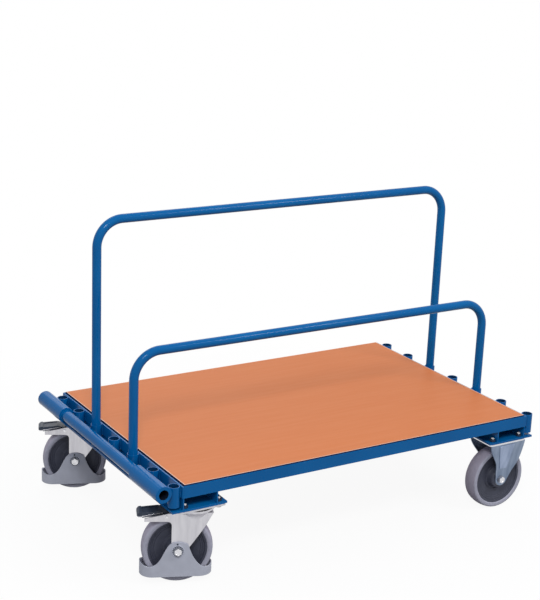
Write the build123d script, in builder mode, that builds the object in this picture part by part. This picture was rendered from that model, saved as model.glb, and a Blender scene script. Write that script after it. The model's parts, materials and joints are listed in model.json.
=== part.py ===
"""Sheet goods cart: a low platform on four castors, with plug-in hoops that keep boards upright.

Millimetres, +Z up, +X along the deck, front towards -Y. The origin lies on the floor under the middle
of the cart's plan box. Plan positions are measured from the middle of the deck.
"""

import os
from math import cos, radians, sin, sqrt

from build123d import *

os.makedirs("parts", exist_ok=True)

# ---------------------------------------------------------------- driving dimensions

DECK_MIDDLE_X = 27.16
DECK_MIDDLE_Y = -14.3
DECK_TOP = 312.0
DECK_LENGTH = 1200.0
DECK_DEPTH = 799.0
DECK_THICKNESS = 16.0
DECK_EDGE_BREAK = 0.8

# rolled edge section that runs all round the deck: an upright flange with a ledge inside it
FLANGE_TOP = DECK_TOP - 3.5
FLANGE_HEIGHT = 34.5
FRONT_FLANGE = 4.0
END_FLANGE = 5.0
LEDGE_THICKNESS = 4.0
LEDGE_WIDTH = 34.0
ROOT_RADIUS = 2.5
FRAME_HALF_DEPTH = 400.0
FRAME_HALF_LENGTH = 603.0

# castor consoles: two webs along each end, standing on a broad flat
CONSOLE_TOP = 240.0
CONSOLE_THICKNESS = 6.0
CONSOLE_OUTER = 637.0
CONSOLE_WIDTH = 170.0
CONSOLE_HALF_DEPTH = 403.0
WEB_THICKNESS = 4.0
OUTER_WEB = 601.0
INNER_WEB = 496.0

CROSS_MEMBER_X = 190.0
CROSS_MEMBER_SIZE = 35.0
CROSS_MEMBER_THICKNESS = 4.0

# screws that hold the deck panel down through the ledges
SCREW_X = (-450.0, -150.0, 150.0, 450.0)
SCREW_RADIUS = 2.5
SCREW_HEAD_RADIUS = 5.0
SCREW_HEAD_HEIGHT = 2.8
SCREW_LENGTH = 17.0
SCREW_CLEARANCE = 0.1
SCREW_END_GAP = 0.5

# pipe sockets at both ends, the side pipe and the hoops that stand in the sockets
SOCKET_COUNT = 7
SOCKET_PITCH = 125.0
FIRST_SOCKET_Y = -385.0
SOCKET_LENGTH = 60.0
PIPE_RADIUS = 16.85
PIPE_BORE_RADIUS = 14.2
SIDE_PIPE_HALF_LENGTH = 407.0
SIDE_PIPE_HEIGHT = 298.0
COLLAR_RADIUS = 24.15
COLLAR_LENGTH = 165.0
HOOP_RADIUS = 13.45
HOOP_WALL = 2.0
HOOP_BEND = 80.0
FOOT_GAP = 0.3
# socket row of each hoop, and the height of its top bar's centre line
LOW_HOOP_SOCKET = 2
LOW_HOOP_BAR = 606.3
TALL_HOOP_SOCKET = 4
TALL_HOOP_BAR = 930.2

# castors
CASTOR_X = 540.0
CASTOR_Y = 350.0
WHEEL_RADIUS = 100.0
PLATE_LENGTH = 140.0
PLATE_WIDTH = 110.0
PLATE_THICKNESS = 5.0
PLATE_CORNER = 8.0
BOLT_PITCH_X = 105.0
BOLT_PITCH_Y = 80.0
BOLT_RADIUS = 5.0
BOLT_HOLE_RADIUS = 5.5
BOLT_HEX = 16.0
BOLT_HEAD_HEIGHT = 6.4
NUT_HEIGHT = 8.0
THREAD_END = 3.0
THREAD_GAP = 0.1
SEAT_GAP = 0.02
LEG_OUTSIDE = 34.0
LEG_THICKNESS = 4.0
AXLE_RADIUS = 6.0
AXLE_HOLE_RADIUS = 6.25
AXLE_HEX = 19.0
AXLE_HEAD_HEIGHT = 7.5
AXLE_NUT_HEIGHT = 10.0
WASHER_RADIUS = 12.0
WASHER_THICKNESS = 2.0
SLEEVE_RADIUS = 10.0
RUNNING_GAP = 0.05
SWIVEL_GAP = 0.3

# wheels
TYRE_HALF_WIDTH = 24.5
TYRE_SHOULDER = 96.0
SHOULDER_RADIUS = 5.0
RIM_RADIUS = 83.0
RIM_HALF_WIDTH = 21.0
TYRE_LIP = 3.0
HUB_RADIUS = 29.0
HUB_HALF_LENGTH = 29.3
BEARING_RADIUS = 21.0
BEARING_WIDTH = 14.0
BEARING_STEP = 4.0

# swivel head, brake and foot guard of the swivel castors
SWIVEL_HEADING = -22.8
SWIVEL_TRAIL = 47.0
CROWN_TOP = 112.0
CROWN_THICKNESS = 4.0
CROWN_FRONT = 97.0
CUP_RADIUS = 56.0
CUP_RIM = 125.0
CUP_FLOOR_RADIUS = 46.0
CUP_SHOULDER = 119.0
FLARE_FOOT = 82.0
FLARE_RADIUS = 32.0
RACE_INNER_RADIUS = 24.0
RACE_OUTER_RADIUS = 44.0
RACE_GROOVE = 2.5
KINGPIN_RADIUS = 8.0
KINGPIN_HEAD_RADIUS = 14.0
KINGPIN_HEAD_HEIGHT = 3.0
KINGPIN_NUT_RADIUS = 12.0
PEDAL_PIVOT = (-32.0, 102.5)
PEDAL_HUB_RADIUS = 6.0
PEDAL_HALF_WIDTH = 22.0
PEDAL_PIN_RADIUS = 4.0
SHOE_RADIUS = 108.3
SHOE_HALF_WIDTH = 14.0
GUARD_THICKNESS = 3.0
GUARD_BOTTOM = -78.0
GUARD_REAR = -104.0
GUARD_FRONT = 98.0

# ---------------------------------------------------------------- planes and small helpers

# plan plane, and the planes whose normals run along X and towards the front, all at floor level
PLAN = Plane(origin=(DECK_MIDDLE_X, DECK_MIDDLE_Y, 0))
ALONG_X = Plane(origin=PLAN.origin, x_dir=(0, 1, 0), z_dir=(1, 0, 0))
ALONG_Y = Plane(origin=PLAN.origin, x_dir=(1, 0, 0), z_dir=(0, -1, 0))

ledge_top = DECK_TOP - DECK_THICKNESS
ledge_bottom = ledge_top - LEDGE_THICKNESS
flange_bottom = FLANGE_TOP - FLANGE_HEIGHT
console_bottom = CONSOLE_TOP - CONSOLE_THICKNESS
plate_bottom = console_bottom - PLATE_THICKNESS
socket_x = FRAME_HALF_LENGTH + END_FLANGE + PIPE_RADIUS
socket_rows = [FIRST_SOCKET_Y + index * SOCKET_PITCH for index in range(SOCKET_COUNT)]
screw_y = FRAME_HALF_DEPTH - LEDGE_WIDTH / 2
castor_spots = [(x, y) for x in (-CASTOR_X, CASTOR_X) for y in (-CASTOR_Y, CASTOR_Y)]


def save(piece, name):
    """Label a finished piece and write its STEP file."""
    piece.part.label = name
    export_step(piece.part, f"parts/{name}.step")


# ---------------------------------------------------------------- edge frame

for name, side in (("front_rail", -1), ("rear_rail", 1)):
    outside = side * (FRAME_HALF_DEPTH + FRONT_FLANGE)
    inside = side * FRAME_HALF_DEPTH
    ledge_edge = side * (FRAME_HALF_DEPTH - LEDGE_WIDTH)
    with BuildPart() as rail:
        with BuildSketch(ALONG_X):
            with BuildLine():
                Polyline(
                    (outside, flange_bottom),
                    (inside, flange_bottom),
                    (inside, ledge_bottom),
                    (ledge_edge, ledge_bottom),
                    (ledge_edge, ledge_top),
                    (inside, ledge_top),
                    (inside, FLANGE_TOP),
                    (outside, FLANGE_TOP),
                    close=True,
                )
            face = make_face()
            root = face.vertices().sort_by_distance((inside, ledge_bottom))[0]
            fillet(root, radius=ROOT_RADIUS)
        extrude(amount=FRAME_HALF_LENGTH, both=True)
        with BuildSketch(PLAN.offset(ledge_bottom)):
            with Locations(*[(x, side * screw_y) for x in SCREW_X]):
                Circle(SCREW_RADIUS + SCREW_CLEARANCE)
        extrude(amount=LEDGE_THICKNESS, mode=Mode.SUBTRACT)
    save(rail, name)

for name, side in (("left_end_rail", -1), ("right_end_rail", 1)):
    flange_middle = side * (FRAME_HALF_LENGTH + END_FLANGE / 2)
    ledge_middle = side * (FRAME_HALF_LENGTH - LEDGE_WIDTH / 2)
    with BuildPart() as rail:
        with BuildSketch(ALONG_Y):
            with Locations((flange_middle, FLANGE_TOP - FLANGE_HEIGHT / 2)):
                Rectangle(END_FLANGE, FLANGE_HEIGHT)
        extrude(amount=FRAME_HALF_DEPTH + FRONT_FLANGE, both=True)
        with BuildSketch(ALONG_Y):
            with Locations((ledge_middle, ledge_top - LEDGE_THICKNESS / 2)):
                Rectangle(LEDGE_WIDTH, LEDGE_THICKNESS)
        extrude(amount=FRAME_HALF_DEPTH - LEDGE_WIDTH, both=True)
    save(rail, name)

for name, x in (("left_cross_member", -CROSS_MEMBER_X), ("right_cross_member", CROSS_MEMBER_X)):
    with BuildPart() as member:
        with BuildSketch(ALONG_Y):
            with Locations((x, ledge_top - CROSS_MEMBER_THICKNESS / 2)):
                Rectangle(CROSS_MEMBER_SIZE, CROSS_MEMBER_THICKNESS)
            with Locations((x, ledge_top - CROSS_MEMBER_SIZE / 2)):
                Rectangle(CROSS_MEMBER_THICKNESS, CROSS_MEMBER_SIZE)
        extrude(amount=FRAME_HALF_DEPTH - LEDGE_WIDTH, both=True)
    save(member, name)

# ---------------------------------------------------------------- castor consoles

for end, side in (("left", -1), ("right", 1)):
    with BuildPart() as strip:
        with BuildSketch(PLAN.offset(console_bottom)):
            with Locations((side * (CONSOLE_OUTER - CONSOLE_WIDTH / 2), 0)):
                Rectangle(CONSOLE_WIDTH, 2 * CONSOLE_HALF_DEPTH)
        extrude(amount=CONSOLE_THICKNESS)
        with BuildSketch(PLAN.offset(console_bottom)):
            for x, y in castor_spots:
                if x * side > 0:
                    with Locations((x, y)):
                        with GridLocations(BOLT_PITCH_X, BOLT_PITCH_Y, 2, 2):
                            Circle(BOLT_HOLE_RADIUS)
        extrude(amount=CONSOLE_THICKNESS, mode=Mode.SUBTRACT)
    save(strip, f"{end}_castor_strip")

    with BuildPart() as outer_web:
        with BuildSketch(ALONG_X.offset(side * OUTER_WEB)):
            with Locations((0, (CONSOLE_TOP + flange_bottom) / 2)):
                Rectangle(2 * CONSOLE_HALF_DEPTH, flange_bottom - CONSOLE_TOP)
        extrude(amount=side * WEB_THICKNESS)
    save(outer_web, f"{end}_outer_web")

    # the inner web is notched at its top corners, where the front and rear rails' flanges hang down
    with BuildPart() as inner_web:
        with BuildSketch(ALONG_X.offset(side * INNER_WEB)):
            with BuildLine():
                Polyline(
                    (-CONSOLE_HALF_DEPTH, CONSOLE_TOP),
                    (CONSOLE_HALF_DEPTH, CONSOLE_TOP),
                    (CONSOLE_HALF_DEPTH, flange_bottom),
                    (FRAME_HALF_DEPTH, flange_bottom),
                    (FRAME_HALF_DEPTH - ROOT_RADIUS, ledge_bottom),
                    (ROOT_RADIUS - FRAME_HALF_DEPTH, ledge_bottom),
                    (-FRAME_HALF_DEPTH, flange_bottom),
                    (-CONSOLE_HALF_DEPTH, flange_bottom),
                    close=True,
                )
            make_face()
        extrude(amount=side * WEB_THICKNESS)
    save(inner_web, f"{end}_inner_web")

# ---------------------------------------------------------------- deck panel and its screws

with BuildPart() as deck_panel:
    with BuildSketch(PLAN.offset(ledge_top)):
        Rectangle(DECK_LENGTH, DECK_DEPTH)
    extrude(amount=DECK_THICKNESS)
    chamfer(deck_panel.faces().sort_by(Axis.Z)[-1].edges(), length=DECK_EDGE_BREAK)
    with BuildSketch(PLAN.offset(ledge_top)):
        with Locations(*[(x, side * screw_y) for x in SCREW_X for side in (-1, 1)]):
            Circle(SCREW_RADIUS + SCREW_CLEARANCE)
    extrude(amount=SCREW_LENGTH - LEDGE_THICKNESS + SCREW_END_GAP, mode=Mode.SUBTRACT)
save(deck_panel, "deck_panel")

with BuildPart() as deck_screws:
    with BuildSketch(PLAN.offset(ledge_bottom)):
        with Locations(*[(x, side * screw_y) for x in SCREW_X for side in (-1, 1)]):
            Circle(SCREW_HEAD_RADIUS)
    extrude(amount=-SCREW_HEAD_HEIGHT)
    with BuildSketch(PLAN.offset(ledge_bottom)):
        with Locations(*[(x, side * screw_y) for x in SCREW_X for side in (-1, 1)]):
            Circle(SCREW_RADIUS)
    extrude(amount=SCREW_LENGTH)
save(deck_screws, "deck_screws")

# ---------------------------------------------------------------- sockets, side pipe and hoops

for end, side in (("left", -1), ("right", 1)):
    with BuildPart() as sockets:
        with BuildSketch(PLAN.offset(FLANGE_TOP)):
            with Locations(*[(side * socket_x, y) for y in socket_rows]):
                Circle(PIPE_RADIUS)
                Circle(PIPE_BORE_RADIUS, mode=Mode.SUBTRACT)
        extrude(amount=-SOCKET_LENGTH)
    save(sockets, f"{end}_sockets")

# a collar at each end of the side pipe rests against two sockets
side_pipe_x = -socket_x - PIPE_RADIUS - COLLAR_RADIUS
with BuildPart() as side_pipe:
    with BuildSketch(ALONG_Y):
        with Locations((side_pipe_x, SIDE_PIPE_HEIGHT)):
            Circle(PIPE_RADIUS)
    extrude(amount=SIDE_PIPE_HALF_LENGTH, both=True)
    for side in (-1, 1):
        with BuildSketch(ALONG_Y.offset(side * SIDE_PIPE_HALF_LENGTH)):
            with Locations((side_pipe_x, SIDE_PIPE_HEIGHT)):
                Circle(COLLAR_RADIUS)
        extrude(amount=-side * COLLAR_LENGTH)
    with BuildSketch(ALONG_Y):
        with Locations((side_pipe_x, SIDE_PIPE_HEIGHT)):
            Circle(PIPE_BORE_RADIUS)
    extrude(amount=SIDE_PIPE_HALF_LENGTH, both=True, mode=Mode.SUBTRACT)
save(side_pipe, "side_pipe")

for name, row, bar in (
    ("low_hoop", LOW_HOOP_SOCKET, LOW_HOOP_BAR),
    ("tall_hoop", TALL_HOOP_SOCKET, TALL_HOOP_BAR),
):
    foot = CONSOLE_TOP + FOOT_GAP
    row_middle = PLAN.from_local_coords((0, socket_rows[row], 0))
    upright = Plane(origin=row_middle, x_dir=(1, 0, 0), z_dir=(0, -1, 0))
    foot_plane = Plane(origin=upright.from_local_coords((-socket_x, foot, 0)))
    with BuildPart() as hoop:
        with BuildLine(upright):
            FilletPolyline(
                (-socket_x, foot),
                (-socket_x, bar),
                (socket_x, bar),
                (socket_x, foot),
                radius=HOOP_BEND,
            )
        with BuildSketch(foot_plane):
            Circle(HOOP_RADIUS)
            Circle(HOOP_RADIUS - HOOP_WALL, mode=Mode.SUBTRACT)
        sweep()
    save(hoop, name)

# ---------------------------------------------------------------- castor bolts and nuts

with BuildPart() as castor_bolts:
    for x, y in castor_spots:
        with BuildSketch(PLAN.offset(plate_bottom)):
            with Locations((x, y)):
                with GridLocations(BOLT_PITCH_X, BOLT_PITCH_Y, 2, 2):
                    RegularPolygon(BOLT_HEX / 2, 6, major_radius=False, rotation=30)
        extrude(amount=-BOLT_HEAD_HEIGHT)
        with BuildSketch(PLAN.offset(plate_bottom)):
            with Locations((x, y)):
                with GridLocations(BOLT_PITCH_X, BOLT_PITCH_Y, 2, 2):
                    Circle(BOLT_RADIUS)
        extrude(amount=PLATE_THICKNESS + CONSOLE_THICKNESS + NUT_HEIGHT + THREAD_END)
save(castor_bolts, "castor_bolts")

with BuildPart() as castor_nuts:
    for x, y in castor_spots:
        with BuildSketch(PLAN.offset(CONSOLE_TOP)):
            with Locations((x, y)):
                with GridLocations(BOLT_PITCH_X, BOLT_PITCH_Y, 2, 2):
                    RegularPolygon(BOLT_HEX / 2, 6, major_radius=False, rotation=30)
                    Circle(BOLT_RADIUS + THREAD_GAP, mode=Mode.SUBTRACT)
        extrude(amount=NUT_HEIGHT)
save(castor_nuts, "castor_nuts")

# ---------------------------------------------------------------- wheels and axles


class WheelPlanes:
    """Planes and axis of one wheel: x runs from the wheel's middle towards the swivel axis."""

    def __init__(self, middle, heading):
        turn = radians(heading)
        self.middle = middle
        self.forward = Vector(cos(turn), sin(turn), 0)
        self.outward = Vector(sin(turn), -cos(turn), 0)
        self.side = Plane(origin=self.middle, x_dir=self.forward, z_dir=self.outward)
        self.section = Plane(origin=self.middle, x_dir=self.outward, z_dir=-self.forward)
        self.plan = Plane(origin=self.middle, x_dir=self.forward, z_dir=(0, 0, 1))
        self.axle = Axis(self.middle, self.outward)


def make_wheel(prefix, planes):
    """Tyre, rim and ball bearings, all revolved about the axle."""
    with BuildPart() as tyre:
        with BuildSketch(planes.section):
            with BuildLine():
                Polyline(
                    (-TYRE_HALF_WIDTH, TYRE_SHOULDER),
                    (-TYRE_HALF_WIDTH, RIM_RADIUS + TYRE_LIP),
                    (-RIM_HALF_WIDTH, RIM_RADIUS),
                    (RIM_HALF_WIDTH, RIM_RADIUS),
                    (TYRE_HALF_WIDTH, RIM_RADIUS + TYRE_LIP),
                    (TYRE_HALF_WIDTH, TYRE_SHOULDER),
                )
                ThreePointArc(
                    (TYRE_HALF_WIDTH, TYRE_SHOULDER), (0, WHEEL_RADIUS), (-TYRE_HALF_WIDTH, TYRE_SHOULDER)
                )
            face = make_face()
            fillet(face.vertices().group_by(Axis.Y)[-1], radius=SHOULDER_RADIUS)
        revolve(axis=planes.axle)
    save(tyre, f"{prefix}_tyre")

    with BuildPart() as rim:
        with BuildSketch(planes.section):
            with BuildLine():
                half = Polyline(
                    (0, BEARING_RADIUS - BEARING_STEP),
                    (HUB_HALF_LENGTH - BEARING_WIDTH, BEARING_RADIUS - BEARING_STEP),
                    (HUB_HALF_LENGTH - BEARING_WIDTH, BEARING_RADIUS),
                    (HUB_HALF_LENGTH, BEARING_RADIUS),
                    (HUB_HALF_LENGTH, HUB_RADIUS),
                    (12, HUB_RADIUS + 5),
                    (8, HUB_RADIUS + 9),
                    (13, RIM_RADIUS - 11),
                    (RIM_HALF_WIDTH - 1, RIM_RADIUS - 6),
                    (RIM_HALF_WIDTH, RIM_RADIUS),
                    (0, RIM_RADIUS),
                )
                mirror(half, about=Plane.YZ)
            make_face()
        revolve(axis=planes.axle)
    save(rim, f"{prefix}_rim")

    with BuildPart() as bearings:
        with BuildSketch(planes.section):
            for side in (-1, 1):
                with Locations((side * (HUB_HALF_LENGTH - BEARING_WIDTH / 2), 0)):
                    with Locations((0, (BEARING_RADIUS + SLEEVE_RADIUS + RUNNING_GAP) / 2)):
                        Rectangle(BEARING_WIDTH, BEARING_RADIUS - SLEEVE_RADIUS - RUNNING_GAP)
        revolve(axis=planes.axle)
    save(bearings, f"{prefix}_bearings")


def make_axle(prefix, planes, head_seat):
    """Spacer sleeve between the legs, then the hexagon bolt, its two washers and its nut."""
    inside = LEG_OUTSIDE - LEG_THICKNESS
    with BuildPart() as sleeve:
        with BuildSketch(planes.side):
            Circle(SLEEVE_RADIUS)
            Circle(AXLE_HOLE_RADIUS, mode=Mode.SUBTRACT)
        extrude(amount=inside, both=True)
    save(sleeve, f"{prefix}_axle_sleeve")

    seat = head_seat + WASHER_THICKNESS
    with BuildPart() as fasteners:
        for side in (-1, 1):
            with BuildSketch(planes.side.offset(side * (head_seat + SEAT_GAP))):
                Circle(WASHER_RADIUS)
                Circle(AXLE_RADIUS + THREAD_GAP, mode=Mode.SUBTRACT)
            extrude(amount=side * (WASHER_THICKNESS - 2 * SEAT_GAP))
        with BuildSketch(planes.side.offset(seat)):
            RegularPolygon(AXLE_HEX / 2, 6, major_radius=False)
        extrude(amount=AXLE_HEAD_HEIGHT)
        with BuildSketch(planes.side.offset(seat)):
            Circle(AXLE_RADIUS)
        extrude(amount=-2 * seat - AXLE_NUT_HEIGHT - THREAD_END)
        with BuildSketch(planes.side.offset(-seat)):
            RegularPolygon(AXLE_HEX / 2, 6, major_radius=False)
            Circle(AXLE_RADIUS + THREAD_GAP, mode=Mode.SUBTRACT)
        extrude(amount=-AXLE_NUT_HEIGHT)
    save(fasteners, f"{prefix}_axle_fasteners")


# ---------------------------------------------------------------- fixed castors


def make_fixed_housing(prefix, planes):
    """Plate and two legs that lean inwards from its long edges and narrow towards the axle."""
    top = plate_bottom - WHEEL_RADIUS
    lean_start = 25.0
    inner = LEG_OUTSIDE - LEG_THICKNESS
    foot = -22.0
    with BuildPart() as housing:
        with BuildSketch(planes.section):
            for side in (-1, 1):
                with BuildLine():
                    Polyline(
                        (side * LEG_OUTSIDE, foot),
                        (side * LEG_OUTSIDE, lean_start),
                        (side * PLATE_WIDTH / 2, top),
                        (side * (PLATE_WIDTH / 2 - LEG_THICKNESS), top),
                        (side * inner, lean_start),
                        (side * inner, foot),
                        close=True,
                    )
                make_face()
        extrude(amount=PLATE_LENGTH / 2 + 5, both=True)
        with BuildSketch(planes.side):
            with BuildLine():
                left_edge = Spline((-64, top), (-50, 91), (-32, 64), (-21, 22), (-19, -4))
                boss = ThreePointArc(left_edge @ 1, (2, -21), (23, -8))
                right_edge = Spline(boss @ 1, (41, 21), (56, 47), (67, 94), (69, top))
                Line(right_edge @ 1, left_edge @ 0)
            make_face()
        extrude(amount=PLATE_WIDTH, both=True, mode=Mode.INTERSECT)
        with BuildSketch(planes.plan.offset(top)):
            RectangleRounded(PLATE_LENGTH, PLATE_WIDTH, PLATE_CORNER)
            with GridLocations(BOLT_PITCH_X, BOLT_PITCH_Y, 2, 2):
                Circle(BOLT_HOLE_RADIUS, mode=Mode.SUBTRACT)
        extrude(amount=PLATE_THICKNESS)
        with BuildSketch(planes.side):
            Circle(AXLE_HOLE_RADIUS)
        extrude(amount=PLATE_WIDTH, both=True, mode=Mode.SUBTRACT)
    save(housing, f"{prefix}_housing")


# ---------------------------------------------------------------- swivel castors


def make_swivel_head(prefix, planes, plate_plane):
    """Top plate with its recessed kingpin, and the ball race that the fork carries."""
    top = plate_bottom - WHEEL_RADIUS
    with BuildPart() as top_plate:
        with BuildSketch(plate_plane.offset(plate_bottom)):
            RectangleRounded(PLATE_LENGTH, PLATE_WIDTH, PLATE_CORNER)
            with GridLocations(BOLT_PITCH_X, BOLT_PITCH_Y, 2, 2):
                Circle(BOLT_HOLE_RADIUS, mode=Mode.SUBTRACT)
            Circle(KINGPIN_RADIUS, mode=Mode.SUBTRACT)
        extrude(amount=PLATE_THICKNESS)
        with BuildSketch(plate_plane.offset(console_bottom)):
            Circle(KINGPIN_HEAD_RADIUS)
        extrude(amount=-KINGPIN_HEAD_HEIGHT, mode=Mode.SUBTRACT)
    save(top_plate, f"{prefix}_top_plate")

    crown_underside = WHEEL_RADIUS + CROWN_TOP - CROWN_THICKNESS
    with BuildPart() as kingpin:
        with BuildSketch(plate_plane.offset(console_bottom)):
            Circle(KINGPIN_HEAD_RADIUS)
        extrude(amount=-KINGPIN_HEAD_HEIGHT)
        with BuildSketch(plate_plane.offset(console_bottom)):
            Circle(KINGPIN_RADIUS)
        extrude(amount=crown_underside - NUT_HEIGHT - console_bottom)
        with BuildSketch(plate_plane.offset(crown_underside - SWIVEL_GAP)):
            RegularPolygon(KINGPIN_NUT_RADIUS, 6)
        extrude(amount=-NUT_HEIGHT)
    save(kingpin, f"{prefix}_kingpin")

    race_top = top - SWIVEL_GAP
    race_middle = (CROWN_TOP + race_top) / 2
    swivel_axis = Axis(planes.side.from_local_coords((SWIVEL_TRAIL, 0, 0)), (0, 0, 1))
    with BuildPart() as ball_race:
        with BuildSketch(planes.side):
            with BuildLine():
                Polyline(
                    (SWIVEL_TRAIL + RACE_OUTER_RADIUS, race_middle - RACE_GROOVE),
                    (SWIVEL_TRAIL + RACE_OUTER_RADIUS, CROWN_TOP),
                    (SWIVEL_TRAIL + RACE_INNER_RADIUS, CROWN_TOP),
                    (SWIVEL_TRAIL + RACE_INNER_RADIUS, race_top),
                    (SWIVEL_TRAIL + RACE_OUTER_RADIUS, race_top),
                    (SWIVEL_TRAIL + RACE_OUTER_RADIUS, race_middle + RACE_GROOVE),
                    (SWIVEL_TRAIL + RACE_OUTER_RADIUS - RACE_GROOVE, race_middle),
                    close=True,
                )
            make_face()
        revolve(axis=swivel_axis)
    save(ball_race, f"{prefix}_ball_race")


def make_fork(prefix, planes):
    """Pressed fork: two legs, long arms for the pedal, and a crown that flares into a cup."""
    crown_bottom = CROWN_TOP - CROWN_THICKNESS
    crown_end = -25.0
    arm_end = -93.0
    leg_rear = -18.0
    swivel_axis = Axis(planes.side.from_local_coords((SWIVEL_TRAIL, 0, 0)), (0, 0, 1))
    with BuildPart() as fork:
        with BuildSketch(planes.side):
            with BuildLine():
                arms = Polyline(
                    (leg_rear, 0),
                    (leg_rear, 88),
                    (arm_end, 90),
                    (arm_end, 99),
                    (crown_end, CROWN_TOP),
                    (CROWN_FRONT, CROWN_TOP),
                )
                slope = Spline(arms @ 1, (89, 98), (77, 76), (58, 47), (34, 13), (19, -6))
                ThreePointArc(slope @ 1, (0, -20), arms @ 0)
            face = make_face()
            inner_corner = face.vertices().sort_by_distance((leg_rear, 88))[0]
            fillet(inner_corner, radius=12)
        extrude(amount=LEG_OUTSIDE, both=True)
        with BuildSketch(planes.side):
            with BuildLine():
                flare = ThreePointArc(
                    (SWIVEL_TRAIL + FLARE_RADIUS, FLARE_FOOT),
                    (SWIVEL_TRAIL + 40, 103),
                    (SWIVEL_TRAIL + CUP_RADIUS, CUP_SHOULDER),
                )
                Polyline(
                    flare @ 1,
                    (SWIVEL_TRAIL + CUP_RADIUS, CUP_RIM),
                    (SWIVEL_TRAIL + CUP_RADIUS - CROWN_THICKNESS, CUP_RIM),
                    (SWIVEL_TRAIL + CUP_RADIUS - CROWN_THICKNESS, CUP_SHOULDER),
                    (SWIVEL_TRAIL + CUP_FLOOR_RADIUS, CROWN_TOP),
                    (SWIVEL_TRAIL, CROWN_TOP),
                    (SWIVEL_TRAIL, FLARE_FOOT),
                    flare @ 0,
                )
            make_face()
        revolve(axis=swivel_axis)
        with BuildSketch(planes.side):
            with BuildLine():
                Polyline(
                    (arm_end - 5, -30),
                    (110, -30),
                    (110, crown_bottom),
                    (crown_end, crown_bottom),
                    (crown_end, CROWN_TOP + 5),
                    (arm_end - 5, CROWN_TOP + 5),
                    close=True,
                )
            make_face()
        extrude(amount=LEG_OUTSIDE - LEG_THICKNESS, both=True, mode=Mode.SUBTRACT)
        with BuildSketch(planes.side):
            Circle(AXLE_HOLE_RADIUS)
            with Locations(PEDAL_PIVOT):
                Circle(PEDAL_PIN_RADIUS)
        extrude(amount=CUP_RADIUS, both=True, mode=Mode.SUBTRACT)
        with BuildSketch(planes.plan.offset(crown_bottom)):
            with Locations((SWIVEL_TRAIL, 0)):
                Circle(KINGPIN_RADIUS + RUNNING_GAP)
        extrude(amount=CROWN_THICKNESS, mode=Mode.SUBTRACT)
    save(fork, f"{prefix}_fork")


def make_brake(prefix, planes):
    """Foot pedal with its lip, the shoe under it, and the pin on which both turn."""
    x, z = PEDAL_PIVOT
    heel, knee, tip = (x - 1, z - 5.9), (-56, 99), (-105, 98)
    with BuildPart() as pedal:
        with BuildSketch(planes.side):
            with BuildLine():
                Polyline(
                    (x - 1, z + 5.9),
                    (-57, 116),
                    (-106, 112),
                    (-113, 107),
                    (-113, 98),
                    tip,
                    knee,
                    heel,
                    close=True,
                )
            face = make_face()
            fillet(face.vertices().sort_by(Axis.X)[:3], radius=3)
            with Locations(PEDAL_PIVOT):
                Circle(PEDAL_HUB_RADIUS)
                Circle(PEDAL_PIN_RADIUS + RUNNING_GAP, mode=Mode.SUBTRACT)
        extrude(amount=PEDAL_HALF_WIDTH, both=True)
    save(pedal, f"{prefix}_brake_pedal")

    front, rear = -50.0, -74.0
    front_top = knee[1] + (front - knee[0]) * (heel[1] - knee[1]) / (heel[0] - knee[0])
    rear_top = knee[1] + (rear - knee[0]) * (tip[1] - knee[1]) / (tip[0] - knee[0])
    with BuildPart() as shoe:
        with BuildSketch(planes.side):
            with BuildLine():
                edge = Polyline(
                    (front, sqrt(SHOE_RADIUS**2 - front**2)),
                    (front, front_top),
                    knee,
                    (rear, rear_top),
                    (rear, sqrt(SHOE_RADIUS**2 - rear**2)),
                )
                RadiusArc(edge @ 1, edge @ 0, SHOE_RADIUS)
            make_face()
        extrude(amount=SHOE_HALF_WIDTH, both=True)
    save(shoe, f"{prefix}_brake_shoe")

    with BuildPart() as pin:
        with BuildSketch(planes.side):
            with Locations(PEDAL_PIVOT):
                Circle(PEDAL_PIN_RADIUS)
        extrude(amount=LEG_OUTSIDE + 2, both=True)
    save(pin, f"{prefix}_pedal_pin")


def make_foot_guard(prefix, planes):
    """Bell-shaped ring round the foot of the wheel, hung on the axle by a lobe on each side."""
    middle = (GUARD_REAR + GUARD_FRONT) / 2
    length = GUARD_FRONT - GUARD_REAR
    width = 2 * (LEG_OUTSIDE + GUARD_THICKNESS)
    lobe_top = 27.0
    with BuildPart() as guard:
        with BuildSketch(planes.plan.offset(GUARD_BOTTOM)):
            with Locations((middle, 0)):
                SlotOverall(length, width)
                SlotOverall(length - 2 * GUARD_THICKNESS, width - 2 * GUARD_THICKNESS, mode=Mode.SUBTRACT)
        extrude(amount=lobe_top - GUARD_BOTTOM)
        with BuildSketch(planes.side):
            with BuildLine():
                rear_flank = Spline((GUARD_REAR, -39), (-82, -47), (-61, -40), (-44, -17), (-19, 23))
                crest = ThreePointArc(rear_flank @ 1, (4, lobe_top), (29, 18))
                front_flank = Spline(crest @ 1, (41, -14), (54, -35), (70, -49), (GUARD_FRONT, -49))
                Polyline(
                    front_flank @ 1,
                    (GUARD_FRONT, GUARD_BOTTOM),
                    (GUARD_REAR, GUARD_BOTTOM),
                    rear_flank @ 0,
                )
            make_face()
        extrude(amount=width, both=True, mode=Mode.INTERSECT)
        with BuildSketch(planes.side):
            Circle(AXLE_HOLE_RADIUS)
        extrude(amount=width, both=True, mode=Mode.SUBTRACT)
    save(guard, f"{prefix}_foot_guard")


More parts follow.
